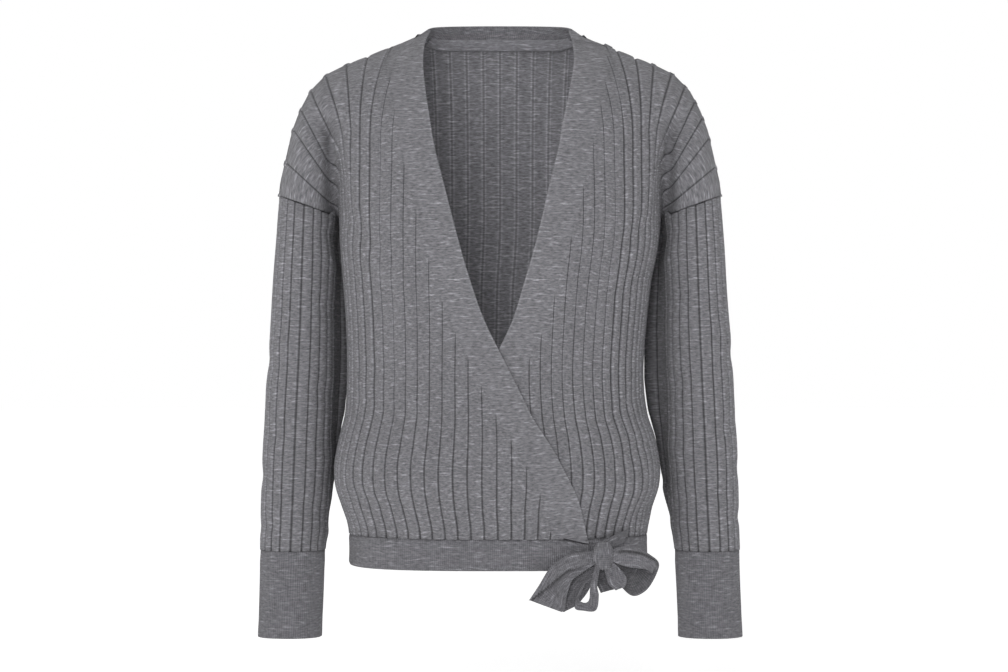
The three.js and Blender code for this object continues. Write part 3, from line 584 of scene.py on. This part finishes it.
def marl(sheet, across, along, fleck):
    """Tone of the heather yarn: light and dark fibres that run along the courses, over slow mottling."""
    yarn = sheet.noise(across, along, 5.5, 1.7, 3.0, 0.6)
    strands = sheet.noise(across, along, 15.0, 2.2, 2.0, 0.5, 7.0)
    cloud = sheet.noise(across, along, 34.0, 20.0, 2.0, 0.5, 3.0)
    bright = sheet.factor(sheet.above(strands, 0.54), 4.2, 0.93)
    return sheet.times(sheet.spread(yarn, fleck), sheet.spread(cloud, 0.3), bright), yarn


def rib_knit_material():
    """Flat rib: plain stitches on the ribs, with painted shade in the grooves between them and a painted
    highlight on one edge of each.
    """
    sheet = NodeSheet("rib_knit")
    across, along = sheet.cloth_place()
    tone, yarn = marl(sheet, across, along, 2.2)
    leg = sheet.math("ABSOLUTE", sheet.wave(across, 1.35))
    course = sheet.wave(sheet.factor(leg, 0.45, along), 1.05)
    # Painted shade and highlights: the line attribute darkens each groove and lightens its far edge.
    line = sheet.attribute("line")
    dark = sheet.math("MINIMUM", line, PLAIN_TONE)
    groove = sheet.factor(dark, GROOVE_SHADE / PLAIN_TONE, 1 - GROOVE_SHADE)
    light = sheet.factor(sheet.above(line, PLAIN_TONE), GROOVE_HIGHLIGHT)
    # Painted light: the inner face is painted lighter than the outer.
    inside = sheet.factor(sheet.attribute("inside"), 0.36)
    sheet.paint(KNIT_COLOR, sheet.times(tone, groove, light, inside, sheet.factor(course, 0.035)))
    stitches = sheet.factor(course, 0.45, sheet.times(leg, 0.4))
    sheet.raise_bump(sheet.factor(yarn, 1.2, stitches), 0.00028)
    wool_finish(sheet, 0.93)
    return sheet.material


def fine_rib_material():
    """Close one-by-one rib of the cuffs, waistband, neckband and tie."""
    sheet = NodeSheet("fine_rib")
    across, along = sheet.cloth_place()
    tone, yarn = marl(sheet, across, along, 2.0)
    sway = sheet.noise(across, along, 14.0, 20.0)
    rib = sheet.wave(sheet.factor(sway, 0.8, across), 2.1)
    course = sheet.wave(along, 1.0)
    # Painted shade: the line attribute darkens the tie's ribbons in their deep folds and where they lie
    # behind other layers.
    fold = sheet.factor(sheet.attribute("line"), FOLD_SHADE, 1 - PLAIN_TONE * FOLD_SHADE)
    # Painted light: the inner face is painted a little lighter.
    inside = sheet.factor(sheet.attribute("inside"), 0.1)
    stitches = sheet.times(sheet.factor(rib, 0.1), sheet.factor(course, 0.03))
    sheet.paint(FINE_COLOR, sheet.times(tone, stitches, inside, fold))
    sheet.raise_bump(sheet.factor(yarn, 0.8, sheet.factor(course, 0.3, rib)), 0.00032)
    wool_finish(sheet, 0.92)
    return sheet.material


def tape_material():
    """Self-fabric tape over the back neck seam: flatter, a little lighter, with a fine cross weave."""
    sheet = NodeSheet("self_tape")
    across, along = sheet.cloth_place()
    tone, yarn = marl(sheet, across, along, 1.5)
    weave = sheet.times(sheet.wave(across, 1.3), sheet.wave(along, 1.1))
    sheet.paint(TAPE_COLOR, sheet.times(tone, sheet.factor(weave, 0.08)))
    sheet.raise_bump(sheet.factor(yarn, 0.6, weave), 0.0002)
    wool_finish(sheet, 0.9)
    return sheet.material


MATERIALS = {
    "rib_knit": rib_knit_material(),
    "fine_rib": fine_rib_material(),
    "self_tape": tape_material(),
}


# Creases that cross the ribs, as soft lines: x and z of three points, half width and height in mm.
# Negative heights are troughs.
FRONT_CREASES = (
    (-176, -120, -166, -160, -161, -215, 9, -3.2),
    (-160, -118, -150, -165, -148, -205, 9, 2.0),
    (-162, -196, -128, -232, -96, -250, 10, -1.8),
    (-160, -226, -118, -262, -84, -272, 11, 1.4),
    (176, -118, 168, -158, 161, -212, 9, -3.2),
    (158, -116, 151, -166, 147, -206, 9, 1.8),
    (162, -200, 131, -228, 101, -262, 9, -1.9),
    (160, -250, 126, -282, 104, -290, 11, -1.3),
    (-150, -352, -108, -362, -58, -380, 12, -1.3),
    (-152, -388, -112, -402, -70, -404, 11, -1.9),
    (-146, -434, -96, -452, -40, -462, 12, 1.5),
    (-158, -480, -132, -497, -88, -503, 9, -2.2),
    (-60, -470, -22, -489, 24, -500, 10, -2.0),
    (-12, -448, 26, -470, 62, -490, 9, 1.5),
    (18, -502, 54, -513, 84, -519, 7, -1.8),
    (148, -382, 122, -402, 92, -410, 10, -1.7),
    (150, -432, 128, -452, 104, -474, 10, -2.0),
    (154, -466, 136, -488, 118, -514, 8, 1.7),
    (156, -496, 143, -508, 131, -522, 7, -1.9),
)
BACK_CREASES = (
    (-172, -122, -163, -165, -158, -220, 9, -3.0),
    (172, -120, 164, -162, 159, -214, 9, -3.0),
    (-158, -205, -112, -240, -62, -252, 12, -1.8),
    (158, -212, 118, -238, 70, -262, 12, -1.7),
    (-130, -352, -40, -372, 52, -362, 13, -1.8),
    (132, -394, 60, -408, -22, -398, 12, -1.9),
    (-140, -428, -84, -444, -30, -438, 12, 1.6),
    (-146, -484, -96, -500, -46, -497, 9, -2.2),
    (144, -478, 88, -494, 30, -502, 10, -2.1),
    (40, -452, 88, -462, 136, -450, 11, 1.5),
)


def crease_heights(x, z, creases):
    """Sum of the creases at the points (x, z); each fades out towards both of its ends."""
    total = np.zeros_like(x)
    for *points, half_width, height in creases:
        points = np.reshape(points, (-1, 2))
        best = np.full(x.shape, 1e9)
        way = np.zeros_like(x)
        spans = len(points) - 1
        for i in range(spans):
            x0, z0 = points[i]
            x1, z1 = points[i + 1]
            length_squared = (x1 - x0) ** 2 + (z1 - z0) ** 2
            t = np.clip(((x - x0) * (x1 - x0) + (z - z0) * (z1 - z0)) / length_squared, 0, 1)
            gap = np.hypot(x - lerp(x0, x1, t), z - lerp(z0, z1, t))
            nearer = gap < best
            best = np.where(nearer, gap, best)
            way = np.where(nearer, (i + t) / spans, way)
        fade = np.sqrt(np.clip(4 * way * (1 - way), 0, 1))
        total += height * fade * hill(best, 0, half_width)
    return total


def body_creases(grid, side):
    """The creases of one side, calm at the waist seam and towards the side seams."""
    creases = FRONT_CREASES if side < 0 else BACK_CREASES
    heights = crease_heights(grid[..., 0], grid[..., 2], creases)
    calm = smooth_step(grid[..., 2], WAIST_SEAM_Z, WAIST_SEAM_Z + 14)
    return heights * calm * smooth_step(np.abs(grid[..., 1] - RIDGE_Y), 6, 30)


def rise_ends(at, ribs, side, hand, inside):
    """Rise at which each rib line leaves the piece, or 2 where it reaches the shoulder seam."""
    low = np.zeros(at.shape)
    high = np.full(at.shape, 2.0)
    whole = inside(body_point(hand * at, ribs, high, side), at)
    for _ in range(EDGE_HALVINGS):
        middle = (low + high) / 2
        kept = inside(body_point(hand * at, ribs, middle, side), at)
        low = np.where(kept, middle, low)
        high = np.where(kept, high, middle)
    return np.where(whole, 2.0, low)


def keep_side(grid, side):
    reach = side * (grid[..., 1] - RIDGE_Y)
    grid[..., 1] = RIDGE_Y + side * np.maximum(reach, SEAM_GAP / 2)


def ease_armpit(normals, at, ribs, side):
    """At the bottom of the armhole the panel folds back on itself: its wall faces down and outwards."""
    share = np.abs(at) / ribs
    fold = unit(xyz(0, side * (1 - smooth_step(share, 0.85, 1)), -1))
    for row in range(TORSO_ROWS - 2, TORSO_ROWS + 1):
        near = 1 - 0.35 * abs(row - TORSO_ROWS + 1)
        weight = (near * smooth_step(share, 0.8, 0.93))[:, None]
        normals[:, row] = unit(lerp(normals[:, row], fold, weight))


def pitch_of(grid):
    """Width of a rib at every point: the distance to the columns one rib further on, split evenly."""
    count = len(RIB_STATIONS)
    ahead = np.minimum(np.arange(len(grid)) + count // 2, len(grid) - 1)
    behind = np.maximum(np.arange(len(grid)) - count // 2, 0)
    gap = np.linalg.norm(grid[ahead] - grid[behind], axis=-1)
    return gap * count / (ahead - behind)[:, None]


def panel_rises(at, ribs, side, hand, inside):
    """Rise of every row on each rib line, and the rise at which the line leaves the piece."""
    least = LEAST_RISE * np.clip(lerp(0.2, 1, at - at[0]), 0, 1)
    end = np.maximum(rise_ends(at, ribs, side, hand, inside), least)
    low = np.minimum(TURN_REACH * end, 1)
    torso = low[:, None] * np.linspace(0, 1, TORSO_ROWS)
    shoulder = lerp(low[:, None], end[:, None], np.linspace(0, 1, SHOULDER_ROWS + 1)[1:])
    return np.concatenate([torso, shoulder], axis=1), end


def body_panel(name, side, hand, ribs, first, inside, edge, corner_z, lift):
    """One ribbed body panel; edge names the V edge of a front, or is None for the back."""
    at, within = rib_lines(first, ribs, False)
    within = within[:, None]
    rise, end = panel_rises(at, ribs, side, hand, inside)
    grid = body_point((hand * at)[:, None], ribs, rise, side)
    covers = np.ones(rise.shape, dtype=bool)
    ribbed = np.ones(rise.shape)
    if edge is not None:
        grid, covers, ribbed = with_border(grid, at, ribs, hand, edge, corner_z)
        ribbed[end <= 2 * LEAST_RISE] = 0
    low_part = smooth_step(-grid[..., 2], *LIFT_FADE_Z)
    near_knot = 1 - smooth_step(hand * grid[..., 0], *LIFT_FADE_X)
    grid[..., 1] -= lift * low_part * near_knot
    normals = facings(grid, False, -1 if side > 0 else hand)
    ease_armpit(normals, at, ribs, side)
    pitch = pitch_of(grid)
    from_seam = smooth_step(np.minimum(ribs - np.abs(at), at - first), 0, SEAM_RIBS)[:, None]
    relief = rib_relief(within, pitch)
    creases = body_creases(grid, side)
    outer_height = relief * ribbed * lerp(SEAM_GROOVE, 1, from_seam) + creases
    inner_height = INSIDE_GROOVE * np.minimum(relief, 0) - purl_relief(within, pitch)
    inner_height = creases - WALL + inner_height * ribbed
    outer = grid + normals * outer_height[..., None]
    inner = grid + normals * inner_height[..., None]
    keep_side(outer, side)
    keep_side(inner, side)
    # Painted shade in the grooves and painted highlights beside them, on both faces.
    tone = lerp(PLAIN_TONE, groove_shade_and_highlight(within, pitch), ribbed * lerp(SEAM_LINE, 1, from_seam))
    inner_tone = lerp(PLAIN_TONE, purl_shade_and_highlight(within, pitch), ribbed)
    uv = cloth_uv(grid)
    uv[..., 0] = (at * np.median(pitch))[:, None]
    if edge is not None:
        # Painted highlight along the V edge.
        tone[:, -1] = V_EDGE_HIGHLIGHT
        top = TORSO_ROWS + SHOULDER_ROWS - 1
        uv[:, top:, 0] += hand * (grid[:, top:, 0] - grid[:, top:top + 1, 0])
        uv[:, top:, 1] = uv[:, top:top + 1, 1] + grid[:, top:, 2] - grid[:, top:top + 1, 2]
    piece = build_mesh(name, outer, inner, tone, inner_tone, uv, covers, False, "rib_knit")


def with_border(grid, at, ribs, hand, edge, corner_z):
    """Adds the rows of the plain border, from the ribs' upper ends to the V edge."""
    corner = round(CORNER_SHARE * ribs)
    top = grid[:, -1]
    neck = smooth_step(at, corner - 1, corner)
    foot = np.maximum(1 - (at - at[0]), 0)
    edge_z = lerp(lerp(top[:, 2], corner_z, foot), NECK_POINT_Z, neck)
    share = np.linspace(0, 1, BORDER_ROWS + 1)[1:]
    z = lerp(top[:, 2:3], edge_z[:, None], share)
    x = lerp(top[:, 0:1], hand * look_up(V_EDGE, "z", edge_z, edge)[:, None], share)
    border = xyz(x, RIDGE_Y - body_depth(x, z, -1), z)
    both = np.concatenate([grid, border], axis=1)
    covers = np.ones(both.shape[:2], dtype=bool)
    covers[at >= corner, grid.shape[1] - 1:] = False
    way = np.linalg.norm(grid - grid[:, -1:], axis=-1)
    ribbed = smooth_step(way, 0, BORDER_BLEND)
    ribbed[at >= corner] = 1
    return both, covers, np.concatenate([ribbed, np.zeros(border.shape[:2])], axis=1)


def ripple(x, z, scale, seed):
    """Slow uneven swell of the cloth, from a few crossed waves of unlike lengths."""
    phase = 1.7 * seed
    a = np.sin(x / (9.1 * scale) + z / (13.7 * scale) + phase)
    b = np.sin(x / (15.3 * scale) - z / (11.9 * scale) + 2.3 * phase)
    c = np.sin(x / (6.7 * scale) + z / (31.0 * scale) - 1.1 * phase)
    return (a + b + c) / 3


def tube_panel(name, hand, at, within, ribs, row_count, z_at, out, creases, slot):
    """Sleeve or cuff: a tube of cloth whose columns run down it, ribbed in the slot rib_knit."""
    angle = (at / ribs * 2 * math.pi)[:, None] + np.zeros(row_count)
    z = z_at(angle, np.linspace(0, 1, row_count))
    grid = sleeve_section(angle, z, hand)
    normals = facings(grid, True, -hand)
    normals[..., 2] = 0
    normals = unit(normals)
    grid += normals * out
    pitch = np.linalg.norm(np.roll(grid, -1, axis=0) - grid, axis=-1).sum(axis=0) / ribs
    height = creases(angle, z)
    lining = height - WALL
    tone = np.full(z.shape, PLAIN_TONE)
    if slot == "rib_knit":
        relief = rib_relief(within[:, None], pitch)
        height = height + relief
        lining += INSIDE_GROOVE * np.minimum(relief, 0)
        # Painted shade in the grooves and a painted highlight on their far edges.
        tone = groove_shade_and_highlight(within[:, None], pitch)
    outer = grid + normals * height[..., None]
    inner = grid + normals * lining[..., None]
    uv = np.stack([(at[:, None] * pitch.mean()) + 0 * z, -z], axis=-1)
    piece = build_mesh(name, outer, inner, tone, tone, uv, np.ones(z.shape, dtype=bool), True, slot)


# Creases of each sleeve: place in turns from the inner side over the front, z, half widths in turns
# and in mm, slant in mm for each turn, height in mm.
SLEEVE_CREASES = (
    (0.02, -222, 0.13, 10, 60, -2.6),
    (0.05, -250, 0.12, 9, 75, 1.7),
    (0.93, -236, 0.10, 10, -60, -2.2),
    (0.10, -292, 0.12, 11, 90, -1.7),
    (0.30, -330, 0.10, 12, -70, 1.4),
    (0.45, -352, 0.12, 11, 60, -1.6),
    (0.12, -382, 0.11, 10, 80, -1.9),
    (0.62, -372, 0.13, 12, 50, 1.3),
    (0.72, -410, 0.12, 11, -60, -1.8),
    (0.33, -428, 0.10, 10, 60, -1.6),
    (0.06, -452, 0.12, 11, -60, 1.6),
    (0.50, -470, 0.12, 10, 45, -1.7),
    (0.20, -500, 0.13, 8, 40, -1.9),
    (0.85, -488, 0.12, 9, 50, -1.9),
    (0.40, -522, 0.12, 7, -35, -1.8),
    (0.65, -518, 0.13, 7, 40, 1.5),
    (0.03, -530, 0.13, 7, 30, 1.4),
)


def sleeve_creases(hand):
    """The same creases on both sleeves, turned and lowered a little on the left one."""
    offset = 0.0 if hand < 0 else 0.04
    drop = 0 if hand < 0 else 9

    def heights(angle, z):
        turn = angle / (2 * math.pi)
        total = 0.5 * ripple(60 * turn, z, 1.4, 2 + hand)
        for place, height_z, turns, half_width, slant, height in SLEEVE_CREASES:
            away = (turn - place - offset + 0.5) % 1 - 0.5
            low = z - (height_z + drop + slant * away)
            total = total + height * hill(away, 0, turns) * hill(low, 0, half_width)
        upper = smooth_step(-z, -UNDERARM_Z + 2, -UNDERARM_Z + 20)
        lower = smooth_step(z, CUFF_TOP_Z, CUFF_TOP_Z + 12)
        return total * upper * lower
    return heights


def sleeve_z(angle, way):
    share = (1 - np.cos(angle)) / 2
    top_z = lerp(UNDERARM_Z, ARMHOLE_OUTER_Z, share) - ARMHOLE_GAP
    return lerp(CUFF_TOP_Z + SEAM_GAP, top_z + ARMPIT_TUCK * hill(share, 0, TUCK_SHARE), 1 - way)


def cuff_z(angle, way):
    return lerp(CUFF_TOP_Z, CUFF_END_Z, way) + 0 * angle


def cuff_gather(hand):
    def heights(angle, z):
        below = smooth_step(CUFF_TOP_Z - z, 0, 14)
        swell = 0.5 * ripple(70 * angle, z, 1.6, 5 + hand)
        flare = 0.5 * smooth_step(-z, 618, 640)
        return (swell + flare) * below - 0.6 * (1 - below)
    return heights


def make_arm(side, hand):
    at, within = rib_lines(0, SLEEVE_RIBS, True)
    tube_panel(f"sleeve_{side}", hand, at, within, SLEEVE_RIBS, SLEEVE_ROWS, sleeve_z, 0,
               sleeve_creases(hand), "rib_knit")
    at = np.arange(CUFF_COLUMNS, dtype=float)
    tube_panel(f"cuff_{side}", hand, at, 0 * at, CUFF_COLUMNS, CUFF_ROWS, cuff_z, CUFF_OUT,
               cuff_gather(hand), "fine_rib")


def sheet_piece(name, grid, flip, thickness, inset, slot, relief=0.0, ends=0.0,
                depth=0.0):
    """Plain sheet of cloth on a grid: inset from it, with a soft relief, and thinner along its rims.

    ends is 1 where the short ends are rims too. depth is painted shade: 1 deep in a fold, where the cloth is
    painted darkest.
    """
    normals = facings(grid, False, flip)
    base = grid - normals * inset
    height = np.zeros(grid.shape[:2]) + relief
    outer = base + normals * height[..., None]
    inner = base + normals * (height - thickness)[..., None]
    columns = across_grid(len(grid)).T
    rim = np.maximum(np.abs(2 * columns - 1) * ends, np.abs(2 * across_grid(grid.shape[1]) - 1))
    pinch = RIM_PINCH * thickness * smooth_step(rim, 0.9, 1)
    outer -= normals * pinch[..., None]
    inner += normals * pinch[..., None]
    # Painted shade: the line value falls where depth is high.
    tone = np.full(grid.shape[:2], PLAIN_TONE) - PLAIN_TONE * depth
    covers = np.ones(grid.shape[:2], dtype=bool)
    piece = build_mesh(name, outer, inner, tone, tone, cloth_uv(grid), covers, False, slot)


def make_waistband(name, side, start, end, lift, narrow):
    steps = round(abs(end - start) * BAND_COLUMNS) + 1
    share = np.linspace(start, end, steps)[:, None]
    way = across_grid(BAND_ROWS)
    taper = narrow(share)
    top_z = WAIST_SEAM_Z - SEAM_GAP - taper * BAND_TOP_DROP
    z = lerp(top_z, HEM_Z + taper * BAND_FOOT_RISE, way)
    grid = torso_point(share + 0 * way, z, side)
    out = unit(grid - xyz(BAND_CENTRE_X, RIDGE_Y, z))
    grid += out * (BAND_OUT + lift(share) + 0 * way)[..., None]
    keep_side(grid, side)
    flip = side * math.copysign(1, end - start)
    tuck = 0.9 * hill(way, 0, 0.07) + 0.5 * hill(way, 1, 0.06)
    swell = 0.5 * ripple(grid[..., 0] * 1.5, grid[..., 2], 1.1, 3 + side) * np.sin(math.pi * way)
    sheet_piece(name, grid, flip, BAND_WALL, 0, "fine_rib", swell - tuck)


def make_waistbands():
    def none(share):
        return 0 * share

    def over_lift(share):
        return OVERLAP_LIFT * smooth_step(share, -0.85, -0.45)

    def narrowing(share):
        return smooth_step(share, 0.24, 0.47)

    make_waistband("waistband_back", 1, -1, 1, none, none)
    make_waistband("waistband_right", -1, -1, 0.415, over_lift, narrowing)
    make_waistband("waistband_left", -1, 0.2, 1, none, none)


def neck_seam_z(x):
    return BAND_LOW_Z + 5 * smooth_step(np.abs(x), 60, NECK_SEAM_HALF)


def neck_grid(end_angle, start, to, rows):
    """Strip round the back of the neck, from the seam with the back (way 0) up to the top edge (way 1)."""
    angle = np.linspace(end_angle, math.pi - end_angle, NECK_COLUMNS)
    low_x = -NECK_SEAM_HALF * np.cos(angle)
    low_z = neck_seam_z(low_x)
    low = xyz(low_x, RIDGE_Y + body_depth(low_x, low_z, 1), low_z)
    sine = np.sin(angle)
    top_y = RIDGE_Y + (NECK_BACK_Y - RIDGE_Y) * sine ** 0.8
    top_z = lerp(NECK_POINT_Z, BAND_TOP_Z, np.sqrt(sine))
    top = xyz(-NECK_HALF * np.cos(angle), top_y, top_z)
    way = np.linspace(start, to, rows)[None, :, None]
    return lerp(low[:, None, :], top[:, None, :], way)


def make_neck():
    band = neck_grid(BAND_END_ANGLE, 0, 1, NECK_ROWS)
    way = across_grid(NECK_ROWS)
    relief = 0.4 * np.sin(math.pi * way) - 0.8 * hill(way, 0, 0.09)
    sheet_piece("back_neckband", band, -1, WALL, 0, "fine_rib", relief)
    tape = neck_grid(TAPE_END_ANGLE, -0.1, 0.42, NECK_ROWS // 2 + 1)
    sheet_piece("neck_tape", tape, -1, TAPE_WALL, WALL + 2 * SEAM_GAP, "self_tape")


KNOT_CENTRE = np.array([104.3, -104.0, -546.3])
KNOT_HALF = np.array([9.8, 7.5, 14.8])
KNOT_ROUND = 0.8

# The tie's ribbons: both edges of the ribbon (x1 y1 z1, x2 y2 z2) at each fold, from the knot outwards.
TIE = {
    "tie_tail_front": [
        (96, -104, -541, 97, -105, -554),
        (72.6, -108, -543.7, 79.6, -111, -564.8),
        (61.5, -110, -548.7, 71.6, -114, -571.9),
        (49.5, -112, -558.8, 66.5, -116, -589),
        (39.4, -113, -574.9, 65.5, -116, -598),
        (29.3, -113, -590, 62.5, -115, -602),
    ],
    "tie_tail_back": [
        (94, -101, -552, 97.5, -101, -556),
        (75, -103, -562, 94.5, -103, -569),
        (63, -105, -577, 89.5, -105, -581),
        (60, -106, -590, 83, -106, -590),
        (64, -106, -603, 76, -106, -597),
    ],
    "tie_loop_low": [
        (101, -108, -556, 96, -108, -556),
        (98, -112, -575, 91, -112, -575),
        (99.5, -113, -586, 90, -113, -588),
        (96.5, -113, -600, 87.5, -113, -592),
        (84, -112, -600.5, 83, -112, -592),
        (75.5, -111, -598, 80, -111, -589),
        (78, -110, -585, 83, -110, -581),
        (84, -109, -574, 87, -109, -571),
    ],
    "tie_loop_back": [
        (101.5, -100, -557, 107, -100, -558),
        (97, -102, -571, 114, -101, -568),
        (102, -101, -584, 118, -99, -580),
    ],
    "tie_loop_small": [
        (104, -106, -556, 112, -106, -550),
        (107, -108, -566, 123, -107, -561),
        (110, -108, -575, 128, -106, -570),
        (117, -106, -581, 126, -104, -578),
    ],
    "tie_loop_large": [
        (110, -104, -541, 110, -104, -550),
        (124, -108, -536.5, 126, -112, -556),
        (138, -110, -538, 140, -114, -558),
        (151, -106, -545, 149, -109, -560),
        (160, -97, -554, 153, -98, -564),
        (158, -90, -568, 143, -88, -560),
        (148, -88, -583, 130, -86, -558),
        (134, -89, -588, 120, -88, -555),
        (120, -93, -575, 112, -93, -550),
        (108, -97, -556, 106, -97, -545),
    ],
    "tie_root": [
        (130, -75, -522, 128, -76.5, -535),
        (119, -87, -526, 117, -88, -538),
        (104, -97, -532, 103, -98, -543),
    ],
}


def ribbon_grid(folds):
    data = table("x1 y1 z1 x2 y2 z2", folds)
    data["i"] = np.arange(len(folds), dtype=float)
    at = np.linspace(0, len(folds) - 1, (len(folds) - 1) * RIBBON_STEPS + 1)
    edges = [np.stack([look_up(data, "i", at, axis + n) for axis in "xyz"], axis=-1) for n in "12"]
    way = across_grid(RIBBON_ROWS)[..., None]
    return lerp(edges[0][:, None, :], edges[1][:, None, :], way), at / (len(folds) - 1)


def tail_crease(along):
    """Where the front tail is folded over lengthwise: its upper part lies over the lower."""
    return lerp(0.86, 0.02, along)


def tail_fold(along, way):
    fold = tail_crease(along)
    over = 4.2 * np.clip(1 - ((way - fold / 2) / (fold / 2 + 0.02)) ** 2, 0, 1) ** 0.4
    under = -1.6 * hill(way, fold, 0.2)
    return np.where(way < fold, over, under) * smooth_step(along, 0.02, 0.2)


# Painted shade under the fold of the front tail.
def tail_painted_shade(along, way):
    below = way - tail_crease(along)
    return np.where(below > 0, 0.85 * hill(below, 0, 0.09), 0) * smooth_step(along, 0.12, 0.3)


def cupped(depth):
    def heights(along, way):
        waves = 0.35 * np.sin(9 * along + 5 * way)
        return depth * (1 - (2 * way - 1) ** 2) * np.sin(math.pi * np.clip(along, 0.02, 0.98)) + waves
    return heights


def loop_front(along):
    """1 on the front of the large loop and 0 at the knot and round its bend."""
    return smooth_step(along, 0.03, 0.12) * (1 - smooth_step(along, 0.36, 0.5))


def loop_fold(along, way):
    """The large loop bends back along its upper edge, which leaves a deep fold under a narrow band."""
    return cupped(1.4)(along, way) - 5 * loop_front(along) * hill(way, LOOP_FOLD_PLACE, 0.13)


# Painted shade in the deep fold of the large loop and over its back layer.
def loop_painted_shade(along, way):
    hollow = 0.5 * smooth_step(along, 0.46, 0.56)
    return np.maximum(loop_front(along) * hill(way, LOOP_FOLD_PLACE, 0.1), hollow)


# The same painted shade all over a ribbon.
def evenly(depth):
    return lambda along, way: depth


# For each ribbon: length and width in metres of the part that it shows, its relief and its painted shade.
RIBBONS = {
    "tie_tail_front": ((0.085, 0.028), tail_fold, tail_painted_shade),
    "tie_tail_back": ((0.056, 0.0195), cupped(1.2), evenly(0.3)),
    "tie_loop_low": ((0.08, 0.0101), cupped(0.8), evenly(0.2)),
    "tie_loop_back": ((0.028, 0.0145), cupped(-1.0), evenly(0.65)),
    "tie_loop_small": ((0.031, 0.0125), cupped(-1.6), evenly(0.0)),
    "tie_loop_large": ((0.125, 0.0205), loop_fold, loop_painted_shade),
    "tie_root": ((0.032, 0.0135), cupped(0.6), evenly(0.1)),
}


def make_knot():
    """The wound band of the knot: upright, rounded over its sides, with folds that run round it."""
    turn = np.linspace(0, 2 * math.pi, KNOT_COLUMNS, endpoint=False)[:, None]
    tilt = np.clip(np.linspace(-0.5 * math.pi, 0.5 * math.pi, KNOT_ROWS), -1.56, 1.56)
    ring = np.cos(tilt) ** KNOT_ROUND
    height = np.sign(tilt) * np.abs(np.sin(tilt)) ** KNOT_ROUND
    low = smooth_step(-height, -0.3, 0.5)
    folds = 0.075 * low * np.sin(13 * height + 1.5 * np.sin(turn)) + 0.03 * np.sin(3 * turn + 2 * height)
    grow = 1.06 + folds
    axes = []
    for centre, half, way in zip(KNOT_CENTRE, KNOT_HALF, (np.cos(turn), np.sin(turn))):
        axes.append(centre + half * grow * ring * np.sign(way) * np.abs(way) ** KNOT_ROUND)
    axes.append(KNOT_CENTRE[2] + KNOT_HALF[2] * 0.97 * height + 0 * turn)
    points = np.stack(axes, axis=-1).reshape(-1, 3)
    index = np.arange(len(points)).reshape(KNOT_COLUMNS, KNOT_ROWS)
    ahead = np.roll(index, -1, axis=0)
    quads = np.stack([index[:, :-1], ahead[:, :-1], ahead[:, 1:], index[:, 1:]], axis=-1)
    faces = quads.reshape(-1, 4).tolist() + [index[::-1, 0].tolist(), index[:, -1].tolist()]
    corners = points[np.concatenate(faces)]
    cloth_piece("tie_knot", points, faces, corners[:, [2, 0]], "fine_rib",
                line=np.full(len(points), PLAIN_TONE))


def make_tie():
    make_knot()
    way = across_grid(RIBBON_ROWS)
    for name, folds in TIE.items():
        flat, relief, depth = RIBBONS[name]
        grid, along = ribbon_grid(folds)
        along = along[:, None]
        sheet_piece(name, grid, 1, RIBBON, 0, "fine_rib", relief(along, way),
                    ends=1.0, depth=depth(along, way))


def back_inside(points, _):
    x, z = points[..., 0], points[..., 2]
    return (np.abs(x) > NECK_SEAM_HALF) | (z < neck_seam_z(x) - 0.2)


def front_inside(hand, ribs, edge):
    corner = round(CORNER_SHARE * ribs)

    def inside(points, at):
        edge_x = look_up(V_EDGE, "z", points[..., 2], edge)
        return (hand * points[..., 0] > edge_x + BORDER) | (at >= corner)
    return inside


def make_body():
    body_panel("back", 1, 1, BACK_RIBS, -BACK_RIBS, back_inside, None, WAIST_SEAM_Z, 0)
    for edge, hand, ribs, corner_z, lift in (
            ("right", -1, RIGHT_RIBS, RIGHT_CORNER_Z, OVERLAP_LIFT),
            ("left", 1, LEFT_RIBS, WAIST_SEAM_Z, 0)):
        inside = front_inside(hand, ribs, edge)
        body_panel(f"front_{edge}", -1, hand, ribs, FIRST_FRONT_RIB, inside, edge, corner_z, lift)


def make_stage():
    bpy.ops.mesh.primitive_plane_add(size=FLOOR_SIZE, location=(0, 3, FLOOR_Z))
    floor = bpy.context.object
    floor.name = "floor"
    paper = bpy.data.materials.new("floor_paper")
    paper.use_nodes = True
    set_inputs(paper.node_tree.nodes["Principled BSDF"], {
        "Base Color": (FLOOR_TONE, FLOOR_TONE, FLOOR_TONE, 1),
        "Roughness": 0.9,
        "Emission Color": WHITE,
        "Emission Strength": FLOOR_GLOW,
    })
    floor.data.materials.append(paper)


def add_light(name, place, size, power):
    data = bpy.data.lights.new(name, "AREA")
    data.shape = "DISK"
    data.size = size
    data.energy = power
    light = add_object(name, data)
    light.location = place
    light.rotation_euler = (Vector(LIGHT_TARGET) - Vector(place)).to_track_quat("-Z", "Y").to_euler()


def make_studio():
    """White surroundings that light the cloth less than they show behind it."""
    world = bpy.data.worlds.new("studio")
    world.use_nodes = True
    nodes = world.node_tree.nodes
    links = world.node_tree.links
    seen = nodes["Background"]
    lit = nodes.new("ShaderNodeBackground")
    for background, strength in ((seen, 1.0), (lit, ROOM_LIGHT)):
        set_inputs(background, {"Color": WHITE, "Strength": strength})
    ray = nodes.new("ShaderNodeLightPath")
    mix = nodes.new("ShaderNodeMixShader")
    for place, source in enumerate((ray.outputs["Is Camera Ray"], lit.outputs[0], seen.outputs[0])):
        links.new(source, mix.inputs[place])
    links.new(mix.outputs[0], nodes["World Output"].inputs[0])
    scene.world = world


def make_lights():
    make_studio()
    for light in LIGHTS:
        add_light(*light)
    scene.view_settings.view_transform = "Standard"


def make_camera():
    data = bpy.data.cameras.new("camera")
    data.lens = LENS
    data.sensor_width = SENSOR
    camera = add_object("camera", data)
    camera.location = CAMERA_PLACE
    camera.rotation_euler = (math.pi / 2, 0, 0)
    scene.camera = camera


make_camera()
make_lights()
make_stage()
make_body()
for side, hand in (("right", -1), ("left", 1)):
    make_arm(side, hand)
make_waistbands()
make_neck()
make_tie()
